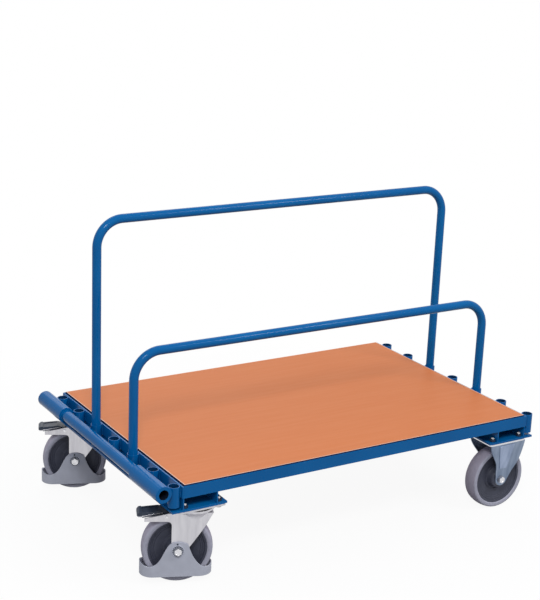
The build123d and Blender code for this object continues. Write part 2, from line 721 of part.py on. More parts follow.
for end, side in (("front", -1), ("rear", 1)):
    fixed_name = f"{end}_fixed"
    fixed = WheelPlanes(PLAN.from_local_coords((CASTOR_X, side * CASTOR_Y, WHEEL_RADIUS)), 0)
    make_fixed_housing(fixed_name, fixed)
    make_wheel(fixed_name, fixed)
    make_axle(fixed_name, fixed, LEG_OUTSIDE)

    swivel_name = f"{end}_swivel"
    turn = radians(SWIVEL_HEADING)
    wheel_middle = (
        -CASTOR_X - SWIVEL_TRAIL * cos(turn),
        side * CASTOR_Y - SWIVEL_TRAIL * sin(turn),
        WHEEL_RADIUS,
    )
    swivel = WheelPlanes(PLAN.from_local_coords(wheel_middle), SWIVEL_HEADING)
    plate_plane = Plane(origin=PLAN.from_local_coords((-CASTOR_X, side * CASTOR_Y, 0)))
    make_swivel_head(swivel_name, swivel, plate_plane)
    make_fork(swivel_name, swivel)
    make_brake(swivel_name, swivel)
    make_foot_guard(swivel_name, swivel)
    make_wheel(swivel_name, swivel)
    make_axle(swivel_name, swivel, LEG_OUTSIDE + GUARD_THICKNESS)
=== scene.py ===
"""Looks of the sheet goods cart: finishes, welds, fasteners, wheels and the studio round them.

Metres, +Z up, +X along the deck, front towards -Y. Sizes written with MM are real millimetres.
"""

import json
import logging
from collections.abc import Callable
from dataclasses import dataclass, field
from enum import Enum
from math import cos, pi, radians, sin, sqrt, tan

import bmesh
import bpy
from mathutils import Matrix, Vector

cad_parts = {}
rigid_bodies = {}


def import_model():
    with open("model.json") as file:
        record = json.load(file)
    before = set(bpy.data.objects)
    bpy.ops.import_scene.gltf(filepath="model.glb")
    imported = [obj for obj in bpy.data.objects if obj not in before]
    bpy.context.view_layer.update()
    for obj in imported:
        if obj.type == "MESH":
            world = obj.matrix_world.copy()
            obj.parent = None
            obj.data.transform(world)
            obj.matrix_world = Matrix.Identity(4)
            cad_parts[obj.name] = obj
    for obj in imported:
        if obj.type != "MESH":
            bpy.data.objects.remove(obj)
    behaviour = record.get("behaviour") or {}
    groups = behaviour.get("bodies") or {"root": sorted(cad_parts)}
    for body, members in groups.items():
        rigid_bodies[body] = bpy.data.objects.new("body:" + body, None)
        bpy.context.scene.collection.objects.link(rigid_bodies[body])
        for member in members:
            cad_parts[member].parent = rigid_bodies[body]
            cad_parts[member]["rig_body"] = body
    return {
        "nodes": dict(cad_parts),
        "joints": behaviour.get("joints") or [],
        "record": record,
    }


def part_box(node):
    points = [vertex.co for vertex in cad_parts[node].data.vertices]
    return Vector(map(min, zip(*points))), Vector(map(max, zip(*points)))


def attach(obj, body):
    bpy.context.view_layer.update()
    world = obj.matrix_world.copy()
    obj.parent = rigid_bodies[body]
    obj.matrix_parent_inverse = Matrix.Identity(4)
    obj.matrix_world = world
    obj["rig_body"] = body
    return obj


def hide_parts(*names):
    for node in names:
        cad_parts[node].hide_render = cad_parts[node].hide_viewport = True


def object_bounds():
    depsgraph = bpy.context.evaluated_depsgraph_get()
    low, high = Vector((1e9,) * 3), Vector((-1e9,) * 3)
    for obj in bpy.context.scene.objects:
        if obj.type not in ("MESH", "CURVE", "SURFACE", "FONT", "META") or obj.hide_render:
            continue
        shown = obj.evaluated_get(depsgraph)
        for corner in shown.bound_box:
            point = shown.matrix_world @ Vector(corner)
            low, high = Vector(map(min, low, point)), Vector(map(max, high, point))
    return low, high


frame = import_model()
cad_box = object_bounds()

log = logging.getLogger("sheet_goods_cart")

MM = 0.001
# radius in millimetres of the small ring that closes a turned piece on its axis
TIP = 0.05
# slope of the chamfer on the corners of nuts and bolt heads
CHAMFER_SLOPE = tan(radians(30))
# edges that turn by more than this many degrees stay sharp, on turned meshes and on copies of solids
TURNED_CREASE = 28.0
SOLID_CREASE = 30.0
# a solid's points this many millimetres apart are one, and its faces this many degrees apart are one
SAME_POINT = 0.002
SAME_FACE = 0.4
Profile = list[tuple[float, float]]
Inputs = dict[str | int, object]


# ---------------------------------------------------------------- nodes and meshes


def linear(colour: str) -> tuple[float, float, float, float]:
    """Turn an sRGB hex colour into linear RGBA.

    Args:
        colour: the colour as "#rrggbb".

    Returns:
        Red, green, blue and an alpha of 1, all linear.
    """
    channels = [int(colour[place : place + 2], 16) / 255 for place in (1, 3, 5)]
    bent = [c / 12.92 if c <= 0.04045 else ((c + 0.055) / 1.055) ** 2.4 for c in channels]
    return (bent[0], bent[1], bent[2], 1.0)


def add(
    tree: bpy.types.NodeTree, kind: str, inputs: Inputs | None = None, **settings: object
) -> bpy.types.Node:
    """Add one node, with its settings, input values and links.

    Args:
        tree: the shader or geometry tree.
        kind: the node's type name.
        inputs: input name or index, to a value or to the output socket that feeds it.
        settings: the node's own properties.

    Returns:
        The new node.
    """
    made = tree.nodes.new(kind)
    for name, value in settings.items():
        setattr(made, name, value)
    for key, value in (inputs or {}).items():
        if isinstance(value, bpy.types.NodeSocket):
            tree.links.new(value, made.inputs[key])
        else:
            made.inputs[key].default_value = value
    return made


def show(name: str, mesh: bpy.types.Mesh) -> bpy.types.Object:
    """Put a mesh into the scene as an object at the origin.

    Args:
        name: the object's name.
        mesh: its mesh, which holds its place.

    Returns:
        The object.
    """
    piece = bpy.data.objects.new(name, mesh)
    bpy.context.scene.collection.objects.link(piece)
    return piece


def fasten(piece: bpy.types.Object, body: str, slot: str, *nodes: str) -> bpy.types.Object:
    """Let a piece ride on its body and stand for the solids that it replaces.

    Args:
        piece: the finished piece.
        body: the body that it moves with.
        slot: the material slot that it takes its finish from; not used.
        nodes: the solids that it stands for.

    Returns:
        The piece.
    """
    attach(piece, body)
    if nodes:
        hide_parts(*nodes)
    log.info("%s on %s", piece.name, body)
    return piece


def tone_faces(
    mesh: bpy.types.Mesh, second: bpy.types.Material, chosen: Callable[[bpy.types.MeshPolygon], bool]
) -> None:
    """Give some faces of a mesh a second material.

    Args:
        mesh: a mesh that has its first material.
        second: the material of the chosen faces.
        chosen: tells whether a face is one of them.
    """
    mesh.materials.append(second)
    for face in mesh.polygons:
        face.material_index = 1 if chosen(face) else 0


def joint_entry(name: str) -> dict[str, object]:
    """Return the frame's entry for a joint."""
    return next(entry for entry in frame["joints"] if entry["name"] == name)


class Shape(Enum):
    """Outline of one ring of a turned or hexagonal piece."""

    ROUND = "round"
    HEXAGON = "hexagon"


@dataclass(frozen=True)
class Ring:
    """One ring of points: its radius and height in millimetres, its outline and its chamfer.

    A hexagon's radius runs from its axis to a flat, and its chamfer is the slope towards its corners.
    """

    radius: float
    height: float
    shape: Shape = Shape.ROUND
    chamfer: float = 0.0

    def point(self, angle: float) -> tuple[float, float, float]:
        """Place one point of the ring, with a hexagon's corners drawn down by its chamfer.

        Args:
            angle: the point's angle about the axis, in radians.

        Returns:
            The point in metres.
        """
        reach = self.radius
        if self.shape is Shape.HEXAGON:
            from_flat = (angle + pi / 6) % (pi / 3) - pi / 6
            reach = self.radius / cos(from_flat)
        drop = self.chamfer * (reach - self.radius)
        return (reach * cos(angle) * MM, reach * sin(angle) * MM, (self.height - drop) * MM)


def turned(rings: list[Ring], steps: int, place: Matrix | None = None) -> bpy.types.Mesh:
    """Join rings of points, in a closed loop, into one smooth closed mesh.

    Args:
        rings: the rings in order round the section.
        steps: points in each ring.
        place: where the mesh goes; its axis is the local Z.

    Returns:
        The mesh, with faces pointing outwards.
    """
    shape = bmesh.new()
    loops = [[shape.verts.new(ring.point(2 * pi * s / steps)) for s in range(steps)] for ring in rings]
    for near, far in zip(loops, loops[1:] + loops[:1]):
        for s in range(steps):
            after = (s + 1) % steps
            shape.faces.new((near[s], near[after], far[after], far[s]))
    bmesh.ops.recalc_face_normals(shape, faces=shape.faces)
    for face in shape.faces:
        face.smooth = True
    for edge in shape.edges:
        edge.smooth = edge.calc_face_angle(0.0) < radians(TURNED_CREASE)
    if place is not None:
        bmesh.ops.transform(shape, matrix=place, verts=shape.verts)
    mesh = bpy.data.meshes.new("turned")
    shape.to_mesh(mesh)
    shape.free()
    return mesh


def slab(outline: Profile, near: float, far: float, place: Matrix) -> bpy.types.Mesh:
    """Give a flat outline thickness.

    Args:
        outline: the closed outline in the local XY plane, in millimetres.
        near: the local Z of one face in millimetres.
        far: the local Z of the other face.
        place: where the mesh goes.

    Returns:
        The closed mesh.
    """
    shape = bmesh.new()
    faces = [[shape.verts.new((x * MM, y * MM, z * MM)) for x, y in outline] for z in (near, far)]
    for step in range(len(outline)):
        after = (step + 1) % len(outline)
        shape.faces.new((faces[0][step], faces[0][after], faces[1][after], faces[1][step]))
    for corners in faces:
        shape.faces.new(corners)
    bmesh.ops.recalc_face_normals(shape, faces=shape.faces)
    bmesh.ops.transform(shape, matrix=place, verts=shape.verts)
    mesh = bpy.data.meshes.new("slab")
    shape.to_mesh(mesh)
    shape.free()
    return mesh


def gathered(name: str, meshes: list[bpy.types.Mesh], look: bpy.types.Material) -> bpy.types.Object:
    """Join meshes into one piece of one material.

    Args:
        name: the piece's name.
        meshes: the meshes to join.
        look: the material of all of them.

    Returns:
        The piece.
    """
    shape = bmesh.new()
    for mesh in meshes:
        shape.from_mesh(mesh)
    whole = bpy.data.meshes.new(name)
    shape.to_mesh(whole)
    shape.free()
    whole.materials.clear()
    whole.materials.append(look)
    for face in whole.polygons:
        face.material_index = 0
    return show(name, whole)


def soften(piece: bpy.types.Object, width: float, segments: int = 2, angle: float = 32.0) -> bpy.types.Object:
    """Round a piece's edges with a live bevel.

    Args:
        piece: the piece.
        width: the bevel's width in millimetres.
        segments: its segments.
        angle: edges sharper than this many degrees are rounded.

    Returns:
        The piece.
    """
    bevel = piece.modifiers.new("edge", "BEVEL")
    bevel.width = width * MM
    bevel.segments = segments
    bevel.limit_method = "ANGLE"
    bevel.angle_limit = radians(angle)
    bevel.harden_normals = True
    return piece


class Carve(Enum):
    """What a cutter leaves of a mesh: the part inside it or the part outside it."""

    INSIDE = "INTERSECT"
    OUTSIDE = "DIFFERENCE"


def carved(mesh: bpy.types.Mesh, cutter: bpy.types.Mesh, kept: Carve) -> bpy.types.Mesh:
    """Cut one closed mesh with another.

    Args:
        mesh: the mesh to cut.
        cutter: the closed mesh that cuts it.
        kept: the part that is kept.

    Returns:
        A new mesh; the first one stays as it was.
    """
    base, tool = show("base", mesh), show("tool", cutter)
    cut = base.modifiers.new("cut", "BOOLEAN")
    cut.operation = kept.value
    cut.solver = "EXACT"
    cut.object = tool
    graph = bpy.context.evaluated_depsgraph_get()
    result = bpy.data.meshes.new_from_object(base.evaluated_get(graph))
    for helper in (base, tool):
        bpy.data.objects.remove(helper)
    return made_whole(result)


def clean_copy(node: str) -> bpy.types.Mesh:
    """Copy a solid's mesh, without the normals stored in it.

    Args:
        node: the solid's node.

    Returns:
        The copy, made whole and without a material.
    """
    mesh = frame["nodes"][node].data.copy()
    normals = mesh.attributes.get("custom_normal")
    if normals is not None:
        mesh.attributes.remove(normals)
    return made_whole(mesh)


def made_whole(mesh: bpy.types.Mesh) -> bpy.types.Mesh:
    """Join a mesh's loose triangles, make its flat faces whole and mark its sharp edges.

    Args:
        mesh: the mesh, which is changed.

    Returns:
        The same mesh, without a material.
    """
    shape = bmesh.new()
    shape.from_mesh(mesh)
    bmesh.ops.remove_doubles(shape, verts=shape.verts, dist=SAME_POINT * MM)
    bmesh.ops.dissolve_limit(shape, angle_limit=radians(SAME_FACE), verts=shape.verts, edges=shape.edges)
    for face in shape.faces:
        face.smooth = True
    for edge in shape.edges:
        edge.smooth = edge.calc_face_angle(0.0) < radians(SOLID_CREASE)
    shape.to_mesh(mesh)
    shape.free()
    mesh.materials.clear()
    return mesh


def dress(node: str, look: bpy.types.Material, edge: float, ending: str = "finished") -> bpy.types.Object:
    """Show a solid as a rounded, finished copy of itself.

    Args:
        node: the solid's node.
        look: its material.
        edge: the width of its rounded edges in millimetres.
        ending: the end of the new piece's name.

    Returns:
        The finished piece.
    """
    mesh = clean_copy(node)
    mesh.materials.append(look)
    piece = soften(show(f"{node}_{ending}", mesh), edge)
    slots = {entry["node"]: entry["material_slot"] for entry in frame["record"]["subparts"]}
    return fasten(piece, frame["nodes"][node]["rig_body"], slots[node], node)


# ---------------------------------------------------------------- geometry node trees


class Socket(Enum):
    """Kinds of named input that the trees below take."""

    LENGTH = "NodeSocketFloat"
    COUNT = "NodeSocketInt"
    PIECE = "NodeSocketObject"
    FINISH = "NodeSocketMaterial"


class Tree:
    """A geometry node tree with named inputs, which is baked into plain meshes."""

    def __init__(self, name: str, inputs: dict[str, Socket]) -> None:
        """Make the tree with its named inputs, a start mesh and an end.

        Args:
            name: the tree's name.
            inputs: each input's name and kind.
        """
        self.group = bpy.data.node_groups.new(name, "GeometryNodeTree")
        sockets = self.group.interface
        sockets.new_socket("Start", in_out="INPUT", socket_type="NodeSocketGeometry")
        for label, kind in inputs.items():
            sockets.new_socket(label, in_out="INPUT", socket_type=kind.value)
        sockets.new_socket("Result", in_out="OUTPUT", socket_type="NodeSocketGeometry")
        self.given = self.group.nodes.new("NodeGroupInput").outputs

    def add(self, kind: str, inputs: Inputs | None = None, **settings: object) -> bpy.types.Node:
        """Add a node to the tree."""
        return add(self.group, kind, inputs, **settings)

    def end(self, result: bpy.types.NodeSocket) -> None:
        """Realise what the tree made, smooth it, give it its finish and join it to the output.

        Args:
            result: the socket that carries what the tree made.
        """
        real = self.add("GeometryNodeRealizeInstances", {0: result})
        smooth = self.add("GeometryNodeSetShadeSmooth", {"Geometry": real.outputs[0]})
        finish = {"Geometry": smooth.outputs[0], "Material": self.given["Finish"]}
        dressed = self.add("GeometryNodeSetMaterial", finish)
        self.add("NodeGroupOutput", {0: dressed.outputs[0]})

    def grow(self, name: str, start: bpy.types.Mesh, values: dict[str, object]) -> bpy.types.Object:
        """Run the tree on a start mesh and keep the result as a plain mesh.

        Args:
            name: the new piece's name.
            start: points or lines that the tree starts from.
            values: each named input's value.

        Returns:
            The piece, with no modifier left on it.
        """
        piece = show(name, start)
        modifier = piece.modifiers.new("growth", "NODES")
        modifier.node_group = self.group
        for item in self.group.interface.items_tree:
            if item.in_out == "INPUT" and item.name in values:
                modifier[item.identifier] = values[item.name]
        graph = bpy.context.evaluated_depsgraph_get()
        mesh = bpy.data.meshes.new_from_object(piece.evaluated_get(graph))
        piece.modifiers.clear()
        piece.data = mesh
        return piece


def lines(paths: list[list[Vector]]) -> bpy.types.Mesh:
    """Make a mesh of open lines, one through each list of points.

    Args:
        paths: the points of each line in metres; a list of one point stays a point.

    Returns:
        The mesh, which has no faces.
    """
    points = [point for path in paths for point in path]
    edges = []
    first = 0
    for path in paths:
        edges += [(first + step, first + step + 1) for step in range(len(path) - 1)]
        first += len(path)
    mesh = bpy.data.meshes.new("lines")
    mesh.from_pydata(points, edges, [])
    return mesh


def weld_tree() -> Tree:
    """Make the tree that lays overlapping ripples of weld metal along lines.

    Returns:
        The tree.
    """
    inputs = {"Pitch": Socket.LENGTH, "Width": Socket.LENGTH, "Seed": Socket.COUNT, "Finish": Socket.FINISH}
    tree = Tree("weld_bead", inputs)
    line = tree.add("GeometryNodeMeshToCurve", {0: tree.given["Start"]})
    spaced = tree.add(
        "GeometryNodeResampleCurve",
        {"Curve": line.outputs[0], "Length": tree.given["Pitch"]},
        mode="LENGTH",
    )
    ripple = tree.add("GeometryNodeMeshUVSphere", {"Segments": 8, "Rings": 5, "Radius": tree.given["Width"]})
    tangent = tree.add("GeometryNodeInputTangent")
    turn = tree.add("FunctionNodeAlignRotationToVector", {"Vector": tangent.outputs[0]}, axis="Z")
    # each ripple is 0.82 to 1.12 times the size given
    limits = {2: 0.82, 3: 1.12, "Seed": tree.given["Seed"]}
    size = tree.add("FunctionNodeRandomValue", limits, data_type="FLOAT")
    placed = tree.add(
        "GeometryNodeInstanceOnPoints",
        {
            "Points": spaced.outputs[0],
            "Instance": ripple.outputs[0],
            "Rotation": turn.outputs[0],
            "Scale": size.outputs[1],
        },
    )
    tree.end(placed.outputs[0])
    return tree


def repeat_tree() -> Tree:
    """Make the tree that sets one piece on every start point, all standing the same way.

    Returns:
        The tree.
    """
    tree = Tree("repeat", {"Piece": Socket.PIECE, "Finish": Socket.FINISH})
    source = tree.add("GeometryNodeObjectInfo", {"Object": tree.given["Piece"]})
    inputs = {"Points": tree.given["Start"], "Instance": source.outputs["Geometry"]}
    placed = tree.add("GeometryNodeInstanceOnPoints", inputs)
    tree.end(placed.outputs[0])
    return tree


def tube_tree() -> Tree:
    """Make the tree that bends a round tube along lines, with one radius at every corner.

    Returns:
        The tree.
    """
    inputs = {"Radius": Socket.LENGTH, "Bend": Socket.LENGTH, "Finish": Socket.FINISH}
    tree = Tree("bent_tube", inputs)
    line = tree.add("GeometryNodeMeshToCurve", {0: tree.given["Start"]})
    bent = tree.add(
        "GeometryNodeFilletCurve",
        {"Curve": line.outputs[0], "Count": 20, "Radius": tree.given["Bend"]},
        mode="POLY",
    )
    ring = {"Resolution": 40, "Radius": tree.given["Radius"]}
    section = tree.add("GeometryNodeCurvePrimitiveCircle", ring)
    tube = tree.add(
        "GeometryNodeCurveToMesh",
        {"Curve": bent.outputs[0], "Profile Curve": section.outputs[0], "Fill Caps": True},
    )
    tree.end(tube.outputs[0])
    return tree


def ball_tree() -> Tree:
    """Make the tree that sets a bearing ball on every start point.

    Returns:
        The tree.
    """
    tree = Tree("balls", {"Radius": Socket.LENGTH, "Finish": Socket.FINISH})
    ball = tree.add("GeometryNodeMeshIcoSphere", {"Radius": tree.given["Radius"], "Subdivisions": 2})
    inputs = {"Points": tree.given["Start"], "Instance": ball.outputs[0]}
    placed = tree.add("GeometryNodeInstanceOnPoints", inputs)
    tree.end(placed.outputs[0])
    return tree


# ---------------------------------------------------------------- finishes


@dataclass(frozen=True)
class Finish:
    """A surface: its colour, a second tone that mottles it, its gloss and its fine relief.

    Grain and mottle sizes are real millimetres; relief is the depth of the grain in millimetres.
    """

    name: str
    colour: str
    second: str
    roughness: float
    spread: float
    mottle: float
    grain: float
    relief: float
    metallic: float = 0.0
    specular: float = 0.3
    stretch: tuple[float, float, float] = (1.0, 1.0, 1.0)

    def make(self) -> bpy.types.Material:
        """Build the material.

        Returns:
            The material.
        """
        material = bpy.data.materials.new(self.name)
        material.use_nodes = True
        tree = material.node_tree
        tree.nodes.clear()
        place = add(tree, "ShaderNodeTexCoord").outputs["Object"]
        mapped = add(tree, "ShaderNodeMapping", {"Vector": place, "Scale": self.stretch}).outputs[0]
        shader = add(
            tree,
            "ShaderNodeBsdfPrincipled",
            {
                "Base Color": self.tone(tree, mapped),
                "Roughness": self.gloss(tree, mapped),
                "Normal": self.feel(tree, mapped),
                "Metallic": self.metallic,
                "Specular IOR Level": self.specular,
            },
        )
        add(tree, "ShaderNodeOutputMaterial", {"Surface": shader.outputs[0]})
        return material

    def tone(self, tree: bpy.types.NodeTree, place: bpy.types.NodeSocket) -> bpy.types.NodeSocket:
        """Mottle the colour with its second tone.

        Args:
            tree: the material's tree.
            place: the pattern's coordinates.

        Returns:
            The colour.
        """
        cloud = {"Vector": place, "Scale": 1 / (self.mottle * MM), "Detail": 4.0}
        noise = add(tree, "ShaderNodeTexNoise", cloud)
        ramp = add(tree, "ShaderNodeValToRGB", {"Fac": noise.outputs[0]})
        for stop, position, colour in zip(ramp.color_ramp.elements, (0.35, 0.65), (self.colour, self.second)):
            stop.position = position
            stop.color = linear(colour)
        return ramp.outputs[0]

    def gloss(self, tree: bpy.types.NodeTree, place: bpy.types.NodeSocket) -> bpy.types.NodeSocket:
        """Vary the roughness about its value.

        Args:
            tree: the material's tree.
            place: the pattern's coordinates.

        Returns:
            The roughness.
        """
        noise = add(tree, "ShaderNodeTexNoise", {"Vector": place, "Scale": 2.5 / (self.mottle * MM)})
        limits = {0: noise.outputs[0], 3: self.roughness - self.spread, 4: self.roughness + self.spread}
        return add(tree, "ShaderNodeMapRange", limits).outputs[0]

    def feel(self, tree: bpy.types.NodeTree, place: bpy.types.NodeSocket) -> bpy.types.NodeSocket:
        """Raise the fine grain of the surface.

        Args:
            tree: the material's tree.
            place: the pattern's coordinates.

        Returns:
            The normal.
        """
        cloud = {"Vector": place, "Scale": 1 / (self.grain * MM), "Detail": 2.0}
        noise = add(tree, "ShaderNodeTexNoise", cloud)
        bump = {"Height": noise.outputs[0], "Distance": self.relief * MM, "Strength": 0.6}
        return add(tree, "ShaderNodeBump", bump).outputs[0]


@dataclass(frozen=True)
class BeechDecor(Finish):
    """Beech-coloured board: long soft streaks with short darker flecks along the grain."""

    fleck: str = "#b96a42"
    # beech rays show as dashes about 0.8 mm wide, drawn 3 mm wide here so that they are seen
    fleck_width: float = 3.0
    fleck_depth: float = 0.14

    def tone(self, tree: bpy.types.NodeTree, place: bpy.types.NodeSocket) -> bpy.types.NodeSocket:
        """Lay the flecks over the streaks.

        Args:
            tree: the material's tree.
            place: the pattern's coordinates.

        Returns:
            The colour.
        """
        streaks = super().tone(tree, place)
        cloud = {"Vector": place, "Scale": 1 / (self.fleck_width * MM), "Detail": 1.0}
        dashes = add(tree, "ShaderNodeTexNoise", cloud)
        limits = {0: dashes.outputs[0], 1: 0.62, 2: 0.8, 4: self.fleck_depth}
        amount = add(tree, "ShaderNodeMapRange", limits)
        mix = {"Factor": amount.outputs[0], 6: streaks, 7: linear(self.fleck)}
        return add(tree, "ShaderNodeMix", mix, data_type="RGBA").outputs[2]


class Palette:
    """Every finish on the cart, each made once."""

    def __init__(self) -> None:
        """Build the materials."""
        # polyester powder coat in gentian blue: semi-gloss, with faint orange peel
        self.powder_coat = Finish(
            "powder_coat_blue", "#035d9e", "#0563a5",
            roughness=0.14, spread=0.02, mottle=160, grain=2.4, relief=0.015, specular=0.1,
        ).make()
        # melamine decor film in beech on chipboard: warm, satin, with a very fine pore relief
        self.deck_film = BeechDecor(
            "beech_decor_film", "#d07b4b", "#d27f50",
            roughness=0.5, spread=0.05, mottle=14, grain=1.2, relief=0.02, specular=0.12,
            stretch=(0.07, 1.0, 1.0),
        ).make()
        # the board's edge band, drawn as a pale band on the top face: partly its own pale top, partly painted
        # highlight where the edges catch the light
        self.deck_edge_band_and_highlight = Finish(
            "beech_edge_band_and_highlight", "#f2cdb8", "#ecc2ab",
            roughness=0.5, spread=0.04, mottle=20, grain=1.0, relief=0.02, specular=0.2,
        ).make()
        # painted shade on the board's cut sides, dark blue, for the shaded gap beside the end rails
        self.deck_side_shade = Finish(
            "board_side_painted_shade", "#20294a", "#2a3354",
            roughness=0.7, spread=0.04, mottle=6, grain=1.5, relief=0.1, specular=0.1,
        ).make()
        # passivated zinc on pressed sheet: pale, satin, with long drawing marks up and down
        self.zinc_sheet = Finish(
            "zinc_plated_sheet", "#bdbcc2", "#cbcacf",
            roughness=0.38, spread=0.07, mottle=12, grain=1.1, relief=0.02, metallic=1.0,
            stretch=(1.0, 1.0, 0.12),
        ).make()
        # the fixed housings are bluer and darker than the forks; against their paler panels this is painted
        # shade on the legs round the panels
        self.zinc_housing = Finish(
            "blue_passivated_sheet", "#6f7d93", "#8d9aaf",
            roughness=0.38, spread=0.07, mottle=26, grain=1.1, relief=0.02, metallic=0.85,
            stretch=(1.0, 1.0, 0.12),
        ).make()
        # the housings' panels in a paler tone of the same zinc: painted light up the middle of each leg
        self.zinc_panel = Finish(
            "zinc_panel_painted_light", "#7d8ba5", "#9eabc4",
            roughness=0.38, spread=0.07, mottle=26, grain=1.1, relief=0.02, metallic=0.85,
            stretch=(1.0, 1.0, 0.12),
        ).make()
        # bright zinc on turned and rolled fasteners: cleaner and glossier than the sheet
        self.zinc_fastener = Finish(
            "zinc_plated_fastener", "#cfcfd3", "#dcdce0",
            roughness=0.27, spread=0.05, mottle=5, grain=0.6, relief=0.01, metallic=1.0,
        ).make()
        # ground and oiled bearing steel: darker than zinc
        self.bearing_steel = Finish(
            "ground_bearing_steel", "#85868c", "#94959a",
            roughness=0.3, spread=0.04, mottle=6, grain=0.4, relief=0.005, metallic=1.0,
        ).make()
        # nuts and bolt threads darkened: painted shade inside the consoles; only the bolts' cut ends are
        # bright
        self.console_shade_steel = Finish(
            "fastener_painted_shade", "#2b3446", "#353f52",
            roughness=0.5, spread=0.06, mottle=5, grain=0.6, relief=0.01, metallic=0.5,
        ).make()
        # dulled zinc on flat washers
        self.zinc_washer = Finish(
            "zinc_plated_washer", "#83868f", "#92959d",
            roughness=0.42, spread=0.06, mottle=5, grain=0.6, relief=0.01, metallic=1.0,
        ).make()
        # the coat inside the sockets, darker and duller than outside: painted shade in the bores
        self.socket_bore_shade = Finish(
            "socket_bore_painted_shade", "#053057", "#073a68",
            roughness=0.55, spread=0.05, mottle=20, grain=1.6, relief=0.03, specular=0.1,
        ).make()
        # near black inside the side pipe: painted shade deep in its bore
        self.pipe_bore_shade = Finish(
            "pipe_bore_painted_shade", "#0a1422", "#101c2e",
            roughness=0.7, spread=0.05, mottle=12, grain=0.8, relief=0.02, specular=0.1,
        ).make()
        # hardened race and kingpin, dark: painted shade in the gap under the plate
        self.race_shade_steel = Finish(
            "race_steel_painted_shade", "#1e1f24", "#2b2c32",
            roughness=0.4, spread=0.06, mottle=5, grain=0.5, relief=0.01, metallic=0.6,
        ).make()
        # non-marking elastic rubber: matt, faintly brown-violet grey
        self.tyre_side = Finish(
            "grey_rubber_sidewall", "#a6a7b8", "#aeafc0",
            roughness=0.62, spread=0.06, mottle=9, grain=0.7, relief=0.04, specular=0.2,
        ).make()
        # the tread is a shade browner where it has rolled
        self.tyre_tread = Finish(
            "grey_rubber_tread", "#a7a4b7", "#afabbd",
            roughness=0.72, spread=0.06, mottle=7, grain=0.9, relief=0.08, specular=0.15,
        ).make()
        # moulded polyamide: dark, with a soft sheen
        self.rim_polyamide = Finish(
            "dark_polyamide", "#3a3d4b", "#414453",
            roughness=0.5, spread=0.05, mottle=18, grain=0.8, relief=0.015, specular=0.3,
        ).make()
        # moulded polypropylene with a fine spark-eroded grain
        self.guard_plastic = Finish(
            "grey_polypropylene", "#b5b9c8", "#bcc0cf",
            roughness=0.52, spread=0.04, mottle=26, grain=0.7, relief=0.03,
        ).make()
        # moulded cover of the pedal, and its shoe: blue-black, with a soft sheen
        self.pedal_plastic = Finish(
            "black_moulded_plastic", "#2b3545", "#333e50",
            roughness=0.4, spread=0.06, mottle=14, grain=0.7, relief=0.03, specular=0.35,
        ).make()
        # nitrile seal of the ball bearings: near black and dull
        self.seal = Finish(
            "black_nitrile_seal", "#17171a", "#202024",
            roughness=0.6, spread=0.04, mottle=6, grain=0.5, relief=0.01,
        ).make()


@dataclass
class Workshop:
    """What every sub-assembly needs: the palette and the shared trees."""

    palette: Palette = field(default_factory=Palette)
    weld: Tree = field(default_factory=weld_tree)
    repeat: Tree = field(default_factory=repeat_tree)
    tube: Tree = field(default_factory=tube_tree)
    balls: Tree = field(default_factory=ball_tree)

    def repeated(
        self, name: str, model: bpy.types.Mesh, spots: list[Vector], look: bpy.types.Material
    ) -> bpy.types.Object:
        """Set a copy of one mesh on every spot.

        Args:
            name: the new piece's name.
            model: the mesh, with its seat at the origin.
            spots: the copies' seats in metres.
            look: the copies' material.

        Returns:
            The piece.
        """
        pattern = show("pattern", model)
        values = {"Piece": pattern, "Finish": look}
        piece = self.repeat.grow(name, lines([[spot] for spot in spots]), values)
        bpy.data.objects.remove(pattern)
        return piece


# ---------------------------------------------------------------- frame, deck, sockets and hoops


@dataclass
class EdgeFrame:
    """Rails, cross members and castor consoles, with the welds that hold them together."""

    shop: Workshop
    edge: float = 0.9
    weld_pitch: float = 2.2
    weld_radius: float = 2.4
    stitch: float = 45.0
    # the stitches' middles, in quarters of a web's length from its own middle
    stitch_steps: tuple[float, ...] = (-1.7, -0.6, 0.6, 1.7)
    seed: int = 7

    def build(self) -> None:
        """Finish every frame piece, then weld them."""
        coat = self.shop.palette.powder_coat
        for name in ("front_rail", "rear_rail", "left_end_rail", "right_end_rail"):
            dress(name, coat, self.edge, "coated")
        for side in ("left", "right"):
            for part in ("cross_member", "castor_strip", "outer_web", "inner_web"):
                dress(f"{side}_{part}", coat, self.edge, "coated")
        self.dress_welds()

    def stitches(self) -> list[list[Vector]]:
        """Place stitch welds along the foot of every web.

        Returns:
            The two ends of every stitch.
        """
        paths = []
        for name in ("left_outer_web", "left_inner_web", "right_outer_web", "right_inner_web"):
            low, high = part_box(name)
            middle = (low.y + high.y) / 2
            spacing = (high.y - low.y) / 4
            for step in self.stitch_steps:
                centre = middle + step * spacing
                for x in (low.x, high.x):
                    reach = self.stitch * MM / 2
                    paths.append([Vector((x, centre - reach, low.z)), Vector((x, centre + reach, low.z))])
        return paths

    def dress_welds(self) -> None:
        """Lay the weld beads under the coat."""
        values = {
            "Pitch": self.weld_pitch * MM,
            "Width": self.weld_radius * MM,
            "Seed": self.seed,
            "Finish": self.shop.palette.powder_coat,
        }
        piece = self.shop.weld.grow("console_welds", lines(self.stitches()), values)
        fasten(piece, "chassis", "blue_powder_coat")


